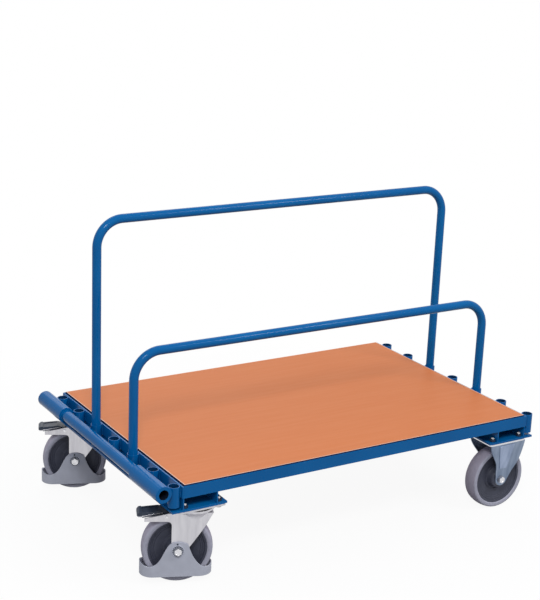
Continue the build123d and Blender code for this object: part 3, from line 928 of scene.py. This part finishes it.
@dataclass
class Deck:
    """The board that the load stands on, and the screws that hold it from below."""

    shop: Workshop
    edge: float = 0.5
    # width of the pale top band: edge band and painted highlight along the top edges
    band: float = 3.0
    head_radius: float = 5.0
    head_height: float = 2.8
    screw_pitch: float = 300.0
    screw_count: int = 4

    def build(self) -> None:
        """Finish the board with a pale band along its top edges (edge band and painted highlight) and sides
        dark with painted shade, then set the screws.
        """
        board = dress("deck_panel", self.shop.palette.deck_film, self.edge, "faced")
        shape = bmesh.new()
        shape.from_mesh(board.data)
        tops = [face for face in shape.faces if face.normal.z > 0.9]
        band = bmesh.ops.inset_region(shape, faces=tops, thickness=self.band * MM)
        # the sides take painted shade; the inset band along the top edges takes the edge band's pale tone
        # with painted highlight
        for face in shape.faces:
            face.material_index = 2 if abs(face.normal.z) < 0.9 else 0
        for face in band["faces"]:
            face.material_index = 1
        shape.to_mesh(board.data)
        shape.free()
        board.data.materials.append(self.shop.palette.deck_edge_band_and_highlight)
        board.data.materials.append(self.shop.palette.deck_side_shade)
        self.dress_screws()

    def dress_screws(self) -> None:
        """Give every screw a pan head with a hexagon socket."""
        low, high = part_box("deck_screws")
        start_x = low.x + self.head_radius * MM
        rows = (low.y + self.head_radius * MM, high.y - self.head_radius * MM)
        seat = low.z + self.head_height * MM
        columns = [start_x + step * self.screw_pitch * MM for step in range(self.screw_count)]
        spots = [Vector((x, y, seat)) for x in columns for y in rows]
        head = [
            Ring(TIP, 0),
            Ring(self.head_radius, 0),
            Ring(self.head_radius, -1.0),
            Ring(self.head_radius * 0.86, -2.2),
            Ring(self.head_radius * 0.6, -self.head_height),
            Ring(2.0, -self.head_height, Shape.HEXAGON),
            Ring(2.0, -1.2, Shape.HEXAGON),
            Ring(TIP, -0.9),
        ]
        bright = self.shop.palette.zinc_fastener
        screws = self.shop.repeated("deck_screw_heads", turned(head, 24), spots, bright)
        fasten(screws, "chassis", "zinc_fasteners", "deck_screws")


class Run(Enum):
    """Which way a pipe runs: across the cart or upright."""

    ACROSS = "y"
    UPRIGHT = "z"


@dataclass
class SocketRows:
    """Pipe sockets along both ends and the pipe welded outside the left ones."""

    shop: Workshop
    edge: float = 0.7
    pitch: float = 125.0
    pipe_radius: float = 16.85
    count: int = 7
    # welds lie in the wedge beside each line where two round or flat faces touch
    wedge: float = 8.0
    weld_radius: float = 2.0
    weld_pitch: float = 2.0
    rail_margin: float = 2.0
    collar_reach: float = 7.0
    seed: int = 11

    def build(self) -> None:
        """Finish sockets and pipe, paint shade inside their bores, then weld them to the frame."""
        palette = self.shop.palette
        # each bore's finish paints shade inside the pipes
        pipes = (
            ("left_sockets", Run.UPRIGHT, palette.socket_bore_shade),
            ("right_sockets", Run.UPRIGHT, palette.socket_bore_shade),
            ("side_pipe", Run.ACROSS, palette.pipe_bore_shade),
        )
        for name, along, inside in pipes:
            self.shade_bores(dress(name, palette.powder_coat, self.edge, "coated"), name, along, inside)
        values = {
            "Pitch": self.weld_pitch * MM,
            "Width": self.weld_radius * MM,
            "Seed": self.seed,
            "Finish": palette.powder_coat,
        }
        welds = self.shop.weld.grow("socket_welds", lines(self.rail_welds() + self.pipe_welds()), values)
        fasten(welds, "chassis", "blue_powder_coat")

    def shade_bores(self, piece: bpy.types.Object, name: str, along: Run, inside: bpy.types.Material) -> None:
        """Paint shade on the walls inside a piece's pipes with a darker finish.

        Args:
            piece: the coated piece.
            name: its solid.
            along: which way its pipes run.
            inside: the dark finish that paints shade on the inner walls.
        """
        low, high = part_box(name)
        middle = (low + high) / 2
        rows = self.middles(name)

        def inner_wall(face: bpy.types.MeshPolygon) -> bool:
            """Tell whether a face is part of a wall that looks at its own pipe's axis.

            Args:
                face: the face.

            Returns:
                Whether it is.
            """
            centre = face.center
            if along is Run.UPRIGHT:
                axis = Vector((middle.x, min(rows, key=lambda row: abs(row - centre.y)), centre.z))
            else:
                axis = Vector((middle.x, centre.y, middle.z))
            return abs(getattr(face.normal, along.value)) < 0.5 and face.normal.dot(centre - axis) < 0

        tone_faces(piece.data, inside, inner_wall)

    def middles(self, name: str) -> list[float]:
        """Return the Y of every socket in a row."""
        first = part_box(name)[0].y + self.pipe_radius * MM
        return [first + step * self.pitch * MM for step in range(self.count)]

    def rail_welds(self) -> list[list[Vector]]:
        """Place welds up both sides of each socket, where it touches its end rail.

        Returns:
            The two ends of every weld.
        """
        paths = []
        for side, inward in (("left", -1), ("right", 1)):
            rail_low, rail_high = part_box(f"{side}_end_rail")
            face = rail_low.x if inward < 0 else rail_high.x
            ends = (rail_low.z + self.rail_margin * MM, rail_high.z - self.rail_margin * MM)
            for y in self.middles(f"{side}_sockets"):
                for across in (-1, 1):
                    beside = y + across * self.wedge * MM
                    paths.append([Vector((face, beside, z)) for z in ends])
        return paths

    def pipe_welds(self) -> list[list[Vector]]:
        """Place short welds under and over the side pipe's collars, where they rest on sockets.

        Returns:
            The two ends of every weld.
        """
        low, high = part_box("side_pipe")
        reach = self.collar_reach * MM
        paths = []
        rows = self.middles("left_sockets")
        for y in rows[:2] + rows[-2:]:
            for up in (-1, 1):
                z = (low.z + high.z) / 2 + up * self.wedge * MM
                paths.append([Vector((high.x, y + along, z)) for along in (-reach, reach)])
        return paths


@dataclass
class Hoop:
    """A bent tube whose two legs stand in a pair of sockets."""

    shop: Workshop
    name: str
    radius: float = 13.45
    bend: float = 80.0

    def build(self) -> None:
        """Bend the tube and coat it."""
        low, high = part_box(self.name)
        reach = self.radius * MM
        row = (low.y + high.y) / 2
        corners = [
            Vector((low.x + reach, row, low.z)),
            Vector((low.x + reach, row, high.z - reach)),
            Vector((high.x - reach, row, high.z - reach)),
            Vector((high.x - reach, row, low.z)),
        ]
        values = {"Radius": reach, "Bend": self.bend * MM, "Finish": self.shop.palette.powder_coat}
        tube = self.shop.tube.grow(f"{self.name}_coated", lines([corners]), values)
        fasten(tube, self.name, "blue_powder_coat", self.name)


# ---------------------------------------------------------------- castors


@dataclass
class ConsoleBolts:
    """Bolts and nuts that hold the four castors to their strips."""

    shop: Workshop
    across_flats: float = 16.0
    head_height: float = 6.4
    nut_height: float = 8.0
    bright_end: float = 0.6
    bolt_radius: float = 5.0
    chamfer: float = 0.3
    thread_depth: float = 0.9
    thread_pitch: float = 1.5
    thread_turns: int = 8
    thread_end: float = 0.8
    pitch_x: float = 105.0
    pitch_y: float = 80.0
    castor_x: float = 540.0
    castor_y: float = 350.0

    def spots(self, z: float) -> list[Vector]:
        """Place every bolt at one height.

        Args:
            z: the height in metres.

        Returns:
            A point for each bolt.
        """
        low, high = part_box("castor_nuts")
        middle = (low + high) / 2
        return [
            Vector((middle.x + cx + bx, middle.y + cy + by, z))
            for cx in (-self.castor_x * MM, self.castor_x * MM)
            for cy in (-self.castor_y * MM, self.castor_y * MM)
            for bx in (-self.pitch_x * MM / 2, self.pitch_x * MM / 2)
            for by in (-self.pitch_y * MM / 2, self.pitch_y * MM / 2)
        ]

    def build(self) -> None:
        """Set heads below the plates and nuts with their thread ends above the strips."""
        self.dress_nuts()
        self.dress_heads()

    def dress_nuts(self) -> None:
        """Nuts darkened with painted shade, chamfered on both faces."""
        flat = self.across_flats / 2
        bore = self.bolt_radius + 0.1
        nut = [
            Ring(bore, 0),
            Ring(flat * 0.95, 0),
            Ring(flat, self.chamfer, Shape.HEXAGON, -CHAMFER_SLOPE),
            Ring(flat, self.nut_height - self.chamfer, Shape.HEXAGON, CHAMFER_SLOPE),
            Ring(flat * 0.95, self.nut_height),
            Ring(bore, self.nut_height),
        ]
        spots = self.spots(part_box("castor_nuts")[0].z)
        black = self.shop.palette.console_shade_steel
        nuts = self.shop.repeated("castor_nuts_chamfered", turned(nut, 24), spots, black)
        fasten(nuts, "chassis", "zinc_fasteners", "castor_nuts")

    def dress_heads(self) -> None:
        """Bolts with chamfered bright heads and rolled threads darkened with painted shade, bright again at
        the cut ends.
        """
        low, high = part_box("castor_bolts")
        flat = self.across_flats / 2
        length = (high.z - low.z) / MM - self.head_height
        crest = self.bolt_radius
        root = crest - self.thread_depth
        top = length - self.thread_end
        thread = []
        for step in range(self.thread_turns):
            z = top - (self.thread_turns - step) * self.thread_pitch
            thread += [Ring(crest, z), Ring(root, z + self.thread_pitch / 2)]
        bolt = [
            Ring(TIP, -self.head_height),
            Ring(flat * 0.95, -self.head_height),
            Ring(flat, self.chamfer - self.head_height, Shape.HEXAGON, -CHAMFER_SLOPE),
            Ring(flat, 0, Shape.HEXAGON),
            Ring(crest, 0),
            *thread,
            Ring(crest, top),
            Ring(crest - self.thread_end, length),
            Ring(TIP, length),
        ]
        palette = self.shop.palette
        seat = low.z + self.head_height * MM
        spots = self.spots(seat)
        bolts = self.shop.repeated("castor_bolts_threaded", turned(bolt, 24), spots, palette.zinc_fastener)
        bright = high.z - self.bright_end * MM
        tone_faces(bolts.data, palette.console_shade_steel, lambda face: seat < face.center.z < bright)
        fasten(bolts, "chassis", "zinc_fasteners", "castor_bolts")


@dataclass
class Wheel:
    """Tyre, rim, bearings, sleeve and axle bolt of one wheel, all about its axle."""

    shop: Workshop
    prefix: str
    carrier: str
    head_seat: float
    radius: float = 100.0
    half_width: float = 24.5
    crown_drop: float = 4.0
    shoulder: float = 5.0
    rim_radius: float = 83.0
    rim_half_width: float = 21.0
    hub_half: float = 29.3
    mould_line: float = 18.8
    mould_height: float = 0.25
    bearing_width: float = 14.0
    bearing_radii: tuple[float, float] = (10.05, 20.95)
    seal_radii: tuple[float, float] = (13.0, 18.0)
    seal_depth: float = 0.7
    shank_radius: float = 6.0
    bolt_flat: float = 9.5
    bolt_head: float = 7.5
    bolt_end: float = 13.0
    axle_nut: float = 10.0
    washer_radius: float = 12.0
    washer_thickness: float = 2.0
    steps: int = 128

    def place(self) -> Matrix:
        """Find the wheel's own axes: X towards its front, Y up, Z outwards along the axle.

        Returns:
            The matrix that takes those axes to the cart's.
        """
        joint = joint_entry(f"{self.prefix}_wheel_spin")
        outward = Vector(joint["axis"])
        forward = Vector((-outward.y, outward.x, 0))
        axes = Matrix((forward, Vector((0, 0, 1)), outward)).transposed().to_4x4()
        return Matrix.Translation(Vector(joint["pos_m"])) @ axes

    def reach(self, point: Vector) -> tuple[float, float]:
        """Measure a point from the axle's line and, along it, from the wheel's middle.

        Args:
            point: the point in metres.

        Returns:
            Both distances in millimetres.
        """
        local = self.place().inverted() @ point
        return sqrt(local.x**2 + local.y**2) / MM, abs(local.z) / MM

    def build(self) -> None:
        """Make and dress every piece."""
        body = f"{self.prefix}_wheel"
        parts = (
            ("tyre", self.tyre(), "grey_tyre"),
            ("rim", self.rim(), "wheel_rim"),
        )
        for part, mesh, slot in parts:
            piece = show(f"{self.prefix}_{part}_moulded", mesh)
            fasten(piece, body, slot, f"{self.prefix}_{part}")
        self.dress_bearings(body)
        dress(f"{self.prefix}_axle_sleeve", self.shop.palette.bearing_steel, 0.4, "ground")
        self.dress_axle()

    def mirrored(self, half: Profile) -> list[Ring]:
        """Turn half a section, from the middle outwards and back, into rings for the whole section."""
        outer = [Ring(r, a) for a, r in half]
        return outer + [Ring(r, -a) for a, r in reversed(half)]

    def tyre(self) -> bpy.types.Mesh:
        """Crowned tread with two fine mould lines, round shoulders and a lip at the rim.

        Returns:
            The mesh, with its tread and its sides in their own rubber.
        """
        bow = (self.half_width**2 + self.crown_drop**2) / (2 * self.crown_drop)
        flat_end = self.half_width - self.shoulder
        half = []
        for across in (0.5, 5.0, 10.0, 15.0, self.mould_line - 0.4, self.mould_line, self.mould_line + 0.4):
            sag = bow - sqrt(bow**2 - across**2)
            line = self.mould_height if across == self.mould_line else 0.0
            half.append((across, self.radius - sag + line))
        top = self.radius - (bow - sqrt(bow**2 - flat_end**2)) - self.shoulder
        for step in range(1, 7):
            turn = radians(90 - step * 15)
            half.append((flat_end + self.shoulder * cos(turn), top + self.shoulder * sin(turn)))
        half += [
            (self.half_width, self.rim_radius + 6.5),
            (self.half_width - 0.6, self.rim_radius + 6.0),
            (self.half_width - 0.6, self.rim_radius + 3.2),
            (self.rim_half_width, self.rim_radius),
            (0.5, self.rim_radius),
        ]
        mesh = turned(self.mirrored(half), self.steps, self.place())
        mesh.materials.append(self.shop.palette.tyre_side)
        tread = top + self.shoulder - 0.6
        tone_faces(mesh, self.shop.palette.tyre_tread, lambda face: self.reach(face.center)[0] > tread)
        return mesh

    def rim(self) -> bpy.types.Mesh:
        """Dished rim with a raised lip, a ring round the hub and a long hub.

        Returns:
            The mesh.
        """
        half = [
            (0.5, self.rim_radius),
            (self.rim_half_width, self.rim_radius),
            (self.rim_half_width + 0.4, self.rim_radius - 1.2),
            (self.rim_half_width, self.rim_radius - 3.0),
            (self.rim_half_width - 2.0, self.rim_radius - 6.0),
            (16.4, 76.0),
            (15.2, 74.6),
            (15.6, 73.2),
            (14.6, 70.6),
            (13.4, 69.4),
            (13.8, 68.0),
            (12.8, 65.0),
            (11.8, 63.8),
            (12.0, 62.4),
            (10.6, 56.0),
            (9.4, 45.0),
            (9.2, 42.6),
            (11.0, 41.8),
            (11.2, 39.6),
            (9.6, 38.6),
            (10.6, 35.6),
            (14.0, 33.2),
            (22.0, 31.2),
            (self.hub_half - 1.0, 29.0),
            (self.hub_half, 28.0),
            (self.hub_half, 21.0),
            (self.hub_half - self.bearing_width, 21.0),
            (self.hub_half - self.bearing_width, 17.0),
            (0.5, 17.0),
        ]
        mesh = turned(self.mirrored(half), self.steps, self.place())
        mesh.materials.append(self.shop.palette.rim_polyamide)
        return mesh

    def dress_bearings(self, body: str) -> None:
        """Ball bearings with a ground outer and inner ring and a black seal between them.

        Args:
            body: the body that they turn with.
        """
        palette = self.shop.palette
        front, back = self.hub_half, self.hub_half - self.bearing_width
        sunk = front - self.seal_depth
        (bore, outside), (inner, outer) = self.bearing_radii, self.seal_radii
        meshes = []
        for side in (-1, 1):
            section = [
                Ring(bore, side * back),
                Ring(bore, side * front),
                Ring(inner - 0.4, side * front),
                Ring(inner, side * sunk),
                Ring(outer, side * sunk),
                Ring(outer + 0.4, side * front),
                Ring(outside, side * front),
                Ring(outside, side * back),
            ]
            meshes.append(turned(section, 64, self.place()))
        piece = gathered(f"{self.prefix}_bearings_sealed", meshes, palette.bearing_steel)
        tone_faces(piece.data, palette.seal, lambda face: self.on_seal(face.center))
        fasten(piece, body, "bearing_steel", f"{self.prefix}_bearings")

    def on_seal(self, point: Vector) -> bool:
        """Tell whether a point of a bearing lies on its seal.

        Args:
            point: the point in metres.

        Returns:
            Whether it does.
        """
        inner, outer = self.seal_radii
        reach, along = self.reach(point)
        return inner < reach < outer and along > self.hub_half - self.seal_depth - 0.5

    def dress_axle(self) -> None:
        """Axle bolt with a chamfered head, two washers and a chamfered nut."""
        palette = self.shop.palette
        flat, washer, seat = self.bolt_flat, self.washer_radius, self.head_seat + self.washer_thickness
        shank, bore = self.shank_radius, self.shank_radius + 0.1
        end, top, back = -seat - self.bolt_end, seat + self.bolt_head, -seat - self.axle_nut
        bolt = [
            Ring(TIP, end),
            Ring(shank - 0.8, end),
            Ring(shank, end + 0.8),
            Ring(shank, seat),
            Ring(flat * 0.98, seat),
            Ring(flat * 0.98, seat + 0.5),
            Ring(flat, seat + 0.6, Shape.HEXAGON),
            Ring(flat, top - 0.3, Shape.HEXAGON, CHAMFER_SLOPE),
            Ring(flat * 0.93, top),
            Ring(flat * 0.7, top),
            Ring(flat * 0.64, top - 0.6),
            Ring(TIP, top - 0.6),
        ]
        nut = [
            Ring(bore, -seat),
            Ring(flat, -seat, Shape.HEXAGON),
            Ring(flat, back + 0.3, Shape.HEXAGON, -CHAMFER_SLOPE),
            Ring(flat * 0.95, back),
            Ring(bore, back),
        ]
        meshes = [turned(section, 36, self.place()) for section in (bolt, nut)]
        for side in (-1, 1):
            near, far = side * (self.head_seat + 0.02), side * (seat - 0.02)
            ring = [Ring(bore, near), Ring(washer, near), Ring(washer, far), Ring(bore, far)]
            meshes.append(turned(ring, 48, self.place()))
        piece = gathered(f"{self.prefix}_axle_bolt_set", meshes, palette.zinc_fastener)
        tone_faces(piece.data, palette.zinc_washer, lambda face: self.reach(face.center)[1] < seat + 0.3)
        soften(piece, 0.25)
        fasten(piece, self.carrier, "zinc_fasteners", f"{self.prefix}_axle_fasteners")


@dataclass
class FixedCastor:
    """A pressed housing with a wheel that only rolls."""

    shop: Workshop
    prefix: str
    edge: float = 1.0
    plate: float = 5.0
    leg_face: float = 34.0
    lean_start: float = 25.0
    lean: float = 11.31
    panel_height: float = 2.0
    panel_sink: float = 0.5

    def build(self) -> None:
        """Finish the housing, with painted highlight on its plate's edges, press its panels and build its
        wheel.
        """
        housing = dress(f"{self.prefix}_housing", self.shop.palette.zinc_housing, self.edge, "plated")
        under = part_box(f"{self.prefix}_housing")[1].z - self.plate * MM
        # the plate's side faces take the brighter fastener zinc: painted highlight where its edges catch the
        # light
        bright = self.shop.palette.zinc_fastener
        tone_faces(housing.data, bright, lambda face: face.center.z > under and abs(face.normal.z) < 0.5)
        wheel = Wheel(self.shop, self.prefix, "chassis", self.leg_face)
        wheel.build()
        self.dress_panels(wheel.place())

    def dress_panels(self, place: Matrix) -> None:
        """Pressed panel up the middle of each leaning leg, with a crease along its edges, in a paler zinc
        that paints light on it.

        Args:
            place: the wheel's own axes.
        """
        outline = [(-9, 14), (14, 14), (17, 17), (28, 98), (25, 101), (-28, 101), (-31, 98), (-12, 17)]
        meshes = []
        for side in (-1, 1):
            tilt = Matrix.Rotation(side * radians(self.lean), 4, "X")
            seat = Matrix.Translation(Vector((0, self.lean_start * MM, side * self.leg_face * MM)))
            near, far = -side * self.panel_sink, side * self.panel_height
            meshes.append(slab(outline, near, far, place @ seat @ tilt))
        panels = gathered(f"{self.prefix}_panels_pressed", meshes, self.shop.palette.zinc_panel)
        fasten(soften(panels, 0.9, 3), "chassis", "zinc_plated_steel")


@dataclass
class SwivelCastor:
    """A fork that turns under its plate, with pedal brake, foot guard and wheel."""

    shop: Workshop
    prefix: str
    edge: float = 0.9
    ball_count: int = 26
    ball_radius: float = 2.3
    race_reach: float = 42.6
    fork_face: float = 37.0
    rib_count: int = 16
    rib_half: float = 0.7
    rib_radii: tuple[float, float] = (12.2, 15.4)
    guard_screw: tuple[float, float] = (-1.0, 21.0)
    pedal_root: float = 20.0
    pedal_tip: float = 113.0
    pedal_half: float = 22.5
    pedal_corner: float = 9.0
    hollow_half: float = 16.0
    trim_faces: tuple[float, float] = (21.0, 22.9)
    strip_depth: float = 2.8
    # depth of the dark band of painted shade under the pedal's strip
    seal_depth: float = 2.6

    def build(self) -> None:
        """Finish the head, fork, brake and guard, and build the wheel."""
        palette = self.shop.palette
        finishes = (
            ("top_plate", palette.zinc_sheet, 0.8, "plated"),
            # kingpin and race dark with painted shade under the plate
            ("kingpin", palette.race_shade_steel, 0.6, "turned"),
            ("ball_race", palette.race_shade_steel, 0.5, "turned"),
            ("fork", palette.zinc_sheet, self.edge, "plated"),
            ("pedal_pin", palette.zinc_fastener, 0.5, "plated"),
            ("brake_shoe", palette.pedal_plastic, 0.8, "moulded"),
            ("foot_guard", palette.guard_plastic, 0.9, "moulded"),
        )
        for part, look, edge, ending in finishes:
            dress(f"{self.prefix}_{part}", look, edge, ending)
        self.dress_balls()
        wheel = Wheel(self.shop, self.prefix, f"{self.prefix}_fork", self.fork_face)
        wheel.build()
        self.dress_pedal(wheel.place())
        self.dress_guard(wheel.place())

    def pedal_plan(self) -> Profile:
        """Draw the pedal from above, with its tip's corners rounded.

        Returns:
            The closed outline in millimetres.
        """
        root, tip, half, corner = self.pedal_root, self.pedal_tip, self.pedal_half, self.pedal_corner
        turns = [radians(15 * step) for step in range(7)]
        rounded = [(-tip + corner * (1 - sin(turn)), half - corner * (1 - cos(turn))) for turn in turns]
        return [(-root, half), *rounded, *((x, -y) for x, y in reversed(rounded)), (-root, -half)]

    def dress_pedal(self, place: Matrix) -> None:
        """Black cover with a dip, a hollow and a curled lip, on a zinc tray with a strip above it, and a dark
        band of painted shade under the strip.

        Args:
            place: the wheel's own axes.
        """
        # the cutters reach past the pedal's sides, and from well below it to well above it
        past_sides, below, above = 30, 80, 130
        upright = place @ Matrix.Rotation(-pi / 2, 4, "X")
        solid = clean_copy(f"{self.prefix}_brake_pedal")
        whole = carved(solid, slab(self.pedal_plan(), below, above, upright), Carve.INSIDE)
        band = [(-116, 90), (-116, 100.4), (-105, 100.4), (-56, 101.4), (-41, 99.8), (-41, 90)]
        dip = [(-101, 120), (-99, 110.8), (-57, 114.3), (-49, 114.3), (-49, 120)]
        hollow = [(-97, 120), (-97, 109.0), (-60, 112.4), (-55, 112.4), (-55, 120)]
        cover = whole
        for outline, reach in ((band, past_sides), (dip, past_sides), (hollow, self.hollow_half)):
            cover = carved(cover, slab(outline, -reach, reach, place), Carve.OUTSIDE)
        body = f"{self.prefix}_pedal"
        plastic = self.shop.palette.pedal_plastic
        cover.materials.append(plastic)
        piece = soften(show(f"{self.prefix}_pedal_cover", cover), 1.1, 3)
        fasten(piece, body, "pedal_black", f"{self.prefix}_brake_pedal")
        tray = [carved(whole, slab(band, -past_sides, past_sides, place), Carve.INSIDE)]
        line = [(-99, 100.0), (-93, 100.3), (-60, 106.0), (-42, 108.4)]
        rises = (self.strip_depth, -self.seal_depth)
        over, under = ([(x, z + rise) for x, z in reversed(line)] for rise in rises)
        near, far = self.trim_faces
        tray += [slab(line + over, sign * near, sign * far, place) for sign in (-1, 1)]
        # a dark band under the strip in the cover's plastic: painted shade
        shade_strips = [slab(line + under, sign * near, sign * far, place) for sign in (-1, 1)]
        fasten(gathered(f"{self.prefix}_pedal_seals", shade_strips, plastic), body, "pedal_black")
        metal = gathered(f"{self.prefix}_pedal_tray", tray, self.shop.palette.zinc_fastener)
        fasten(soften(metal, 0.4), body, "zinc_plated_steel")

    def dress_balls(self) -> None:
        """Balls that run in the groove of the race."""
        joint = joint_entry(f"{self.prefix}_turn")
        low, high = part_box(f"{self.prefix}_ball_race")
        middle = Vector((joint["pos_m"][0], joint["pos_m"][1], (low.z + high.z) / 2))
        reach = self.race_reach * MM
        angles = [2 * pi * step / self.ball_count for step in range(self.ball_count)]
        spots = [[middle + Vector((reach * cos(turn), reach * sin(turn), 0))] for turn in angles]
        values = {"Radius": self.ball_radius * MM, "Finish": self.shop.palette.zinc_fastener}
        piece = self.shop.balls.grow(f"{self.prefix}_race_balls", lines(spots), values)
        fasten(piece, f"{self.prefix}_fork", "bearing_steel")

    def dress_guard(self, place: Matrix) -> None:
        """Raised ring with radial ribs, a groove round the axle bolt and the screw above it, the groove and
        screw dark with painted shade.

        Args:
            place: the wheel's own axes.
        """
        face, (inner, outer), half = self.fork_face, self.rib_radii, self.rib_half
        palette = self.shop.palette
        screw_x, screw_y = self.guard_screw
        screw_place = place @ Matrix.Translation((screw_x * MM, screw_y * MM, 0))
        raised, dark = [], []
        for side in (-1, 1):
            foot = side * (face - 0.4)
            ring = [
                Ring(outer, foot),
                Ring(outer, side * (face + 1.0)),
                Ring(outer + 0.7, side * (face + 1.4)),
                Ring(outer + 2.2, side * (face + 1.4)),
                Ring(outer + 3.0, foot),
            ]
            raised.append(turned(ring, 48, place))
            for step in range(self.rib_count):
                turn = Matrix.Rotation(2 * pi * step / self.rib_count, 4, "Z")
                rib = [(inner, -half), (outer + 0.4, -half), (outer + 0.4, half), (inner, half)]
                raised.append(slab(rib, foot, side * (face + 0.9), place @ turn))
            # the groove and the screw in black plastic: painted shade in the recess and on the screw
            groove = [
                Ring(inner, foot),
                Ring(inner, side * (face + 0.2)),
                Ring(outer + 0.2, side * (face + 0.2)),
                Ring(outer + 0.2, foot),
            ]
            dark.append(turned(groove, 48, place))
            screw = [
                Ring(TIP, foot),
                Ring(2.6, foot),
                Ring(2.6, side * (face + 0.7)),
                Ring(1.9, side * (face + 1.1)),
                Ring(TIP, side * (face + 1.1)),
            ]
            dark.append(turned(screw, 20, screw_place))
        body = f"{self.prefix}_fork"
        fasten(gathered(f"{self.prefix}_guard_bosses", raised, palette.guard_plastic), body, "guard_plastic")
        fasten(gathered(f"{self.prefix}_guard_grooves", dark, palette.pedal_plastic), body, "pedal_black")


# ---------------------------------------------------------------- studio


@dataclass(frozen=True)
class Lamp:
    """A square soft light: its name, its place and side in metres, and its power in watts."""

    name: str
    spot: tuple[float, float, float]
    size: float
    power: float


@dataclass
class Studio:
    """Pale floor, white surroundings, soft lamps and the camera."""

    camera_place: tuple[float, float, float] = (-2225.14, -3460.2, 1859.5)
    heading: float = 31.9435
    dip: float = 16.4187
    tilt: float = 2.3093
    lens: float = 83.77
    floor_shown: str = "#f0f0f2"
    floor_lit: str = "#77777a"
    floor_glow: float = 0.93
    fade_start: float = 0.8
    fade_end: float = 1.7
    daylight: float = 0.6
    floor_half: float = 14.0
    lamps: tuple[Lamp, ...] = (
        Lamp("key", (-1.8, -2.6, 3.2), 0.8, 56.0),
        Lamp("fill", (2.0, -2.7, 3.1), 1.1, 44.0),
        Lamp("back", (0.4, 3.0, 2.8), 2.6, 26.0),
    )

    def build(self) -> None:
        """Set up everything round the cart."""
        scene = bpy.context.scene
        scene.view_settings.view_transform = "Standard"
        self.add_floor()
        self.add_world()
        for lamp in self.lamps:
            self.add_lamp(lamp)
        self.add_camera()

    def add_floor(self) -> None:
        """Lay the floor: near white with a soft shadow where it is seen, duller as a source of light."""
        shape = bmesh.new()
        bmesh.ops.create_grid(shape, x_segments=8, y_segments=8, size=self.floor_half)
        mesh = bpy.data.meshes.new("floor")
        shape.to_mesh(mesh)
        shape.free()
        material = bpy.data.materials.new("studio_floor")
        material.use_nodes = True
        tree = material.node_tree
        tree.nodes.clear()
        place = add(tree, "ShaderNodeTexCoord").outputs["Object"]
        reach = add(tree, "ShaderNodeVectorMath", {0: place}, operation="LENGTH").outputs["Value"]
        limits = {0: reach, 1: self.fade_start, 2: self.fade_end, 3: self.floor_glow, 4: 1.0}
        glow = add(tree, "ShaderNodeMapRange", limits)
        pale = add(tree, "ShaderNodeBsdfDiffuse", {"Color": linear(self.floor_shown)})
        white = add(tree, "ShaderNodeEmission", {"Color": (1, 1, 1, 1), "Strength": 1.0})
        mix = {0: glow.outputs[0], 1: pale.outputs[0], 2: white.outputs[0]}
        seen = add(tree, "ShaderNodeMixShader", mix)
        dull = add(tree, "ShaderNodeBsdfDiffuse", {"Color": linear(self.floor_lit)})
        inputs = {0: self.looked_at(tree), 1: dull.outputs[0], 2: seen.outputs[0]}
        whole = add(tree, "ShaderNodeMixShader", inputs)
        add(tree, "ShaderNodeOutputMaterial", {"Surface": whole.outputs[0]})
        mesh.materials.append(material)
        show("floor", mesh)

    def looked_at(self, tree: bpy.types.NodeTree) -> bpy.types.NodeSocket:
        """Tell rays from the camera, from gloss and through glass (1) from all others (0).

        Args:
            tree: the floor's or the world's tree.

        Returns:
            The socket that tells them apart.
        """
        path = add(tree, "ShaderNodeLightPath").outputs
        direct = {0: path["Is Camera Ray"], 1: path["Is Glossy Ray"]}
        seen = add(tree, "ShaderNodeMath", direct, operation="MAXIMUM")
        through = {0: seen.outputs[0], 1: path["Is Transmission Ray"]}
        return add(tree, "ShaderNodeMath", through, operation="MAXIMUM").outputs[0]

    def add_world(self) -> None:
        """White where it is seen or reflected, and a softer light on the cart."""
        world = bpy.data.worlds.new("studio")
        bpy.context.scene.world = world
        world.use_nodes = True
        tree = world.node_tree
        tree.nodes.clear()
        strength = add(tree, "ShaderNodeMapRange", {0: self.looked_at(tree), 3: self.daylight, 4: 1.0})
        light = add(tree, "ShaderNodeBackground", {"Color": (1, 1, 1, 1), "Strength": strength.outputs[0]})
        add(tree, "ShaderNodeOutputWorld", {"Surface": light.outputs[0]})

    def add_lamp(self, lamp: Lamp) -> None:
        """Hang one lamp so that it faces the cart.

        Args:
            lamp: the lamp.
        """
        light = bpy.data.lights.new(lamp.name, "AREA")
        light.size = lamp.size
        light.energy = lamp.power
        holder = bpy.data.objects.new(lamp.name, light)
        holder.location = lamp.spot
        target = (cad_box[0] + cad_box[1]) / 2
        holder.rotation_euler = (target - Vector(lamp.spot)).to_track_quat("-Z", "Y").to_euler()
        bpy.context.scene.collection.objects.link(holder)

    def add_camera(self) -> None:
        """Set the camera by its place, heading, dip and tilt."""
        turn, dip, tilt = radians(self.heading), radians(self.dip), radians(self.tilt)
        ahead = Vector((sin(turn) * cos(dip), cos(turn) * cos(dip), -sin(dip)))
        right = Vector((cos(turn), -sin(turn), 0))
        up = right.cross(ahead)
        across = cos(tilt) * right + sin(tilt) * up
        upward = cos(tilt) * up - sin(tilt) * right
        axes = Matrix((across, upward, -ahead)).transposed().to_4x4()
        camera = bpy.data.cameras.new("camera")
        camera.lens = self.lens
        holder = bpy.data.objects.new("camera", camera)
        holder.matrix_world = Matrix.Translation(Vector(self.camera_place) * MM) @ axes
        bpy.context.scene.collection.objects.link(holder)
        bpy.context.scene.camera = holder


# ---------------------------------------------------------------- the whole cart


def main() -> None:
    """Build the cart sub-assembly by sub-assembly, then the studio."""
    logging.basicConfig(level=logging.INFO, format="%(name)s: %(message)s")
    shop = Workshop()
    EdgeFrame(shop).build()
    Deck(shop).build()
    SocketRows(shop).build()
    for name in ("low_hoop", "tall_hoop"):
        Hoop(shop, name).build()
    ConsoleBolts(shop).build()
    for end in ("front", "rear"):
        FixedCastor(shop, f"{end}_fixed").build()
        SwivelCastor(shop, f"{end}_swivel").build()
    Studio().build()


if __name__ == "__main__":
    main()
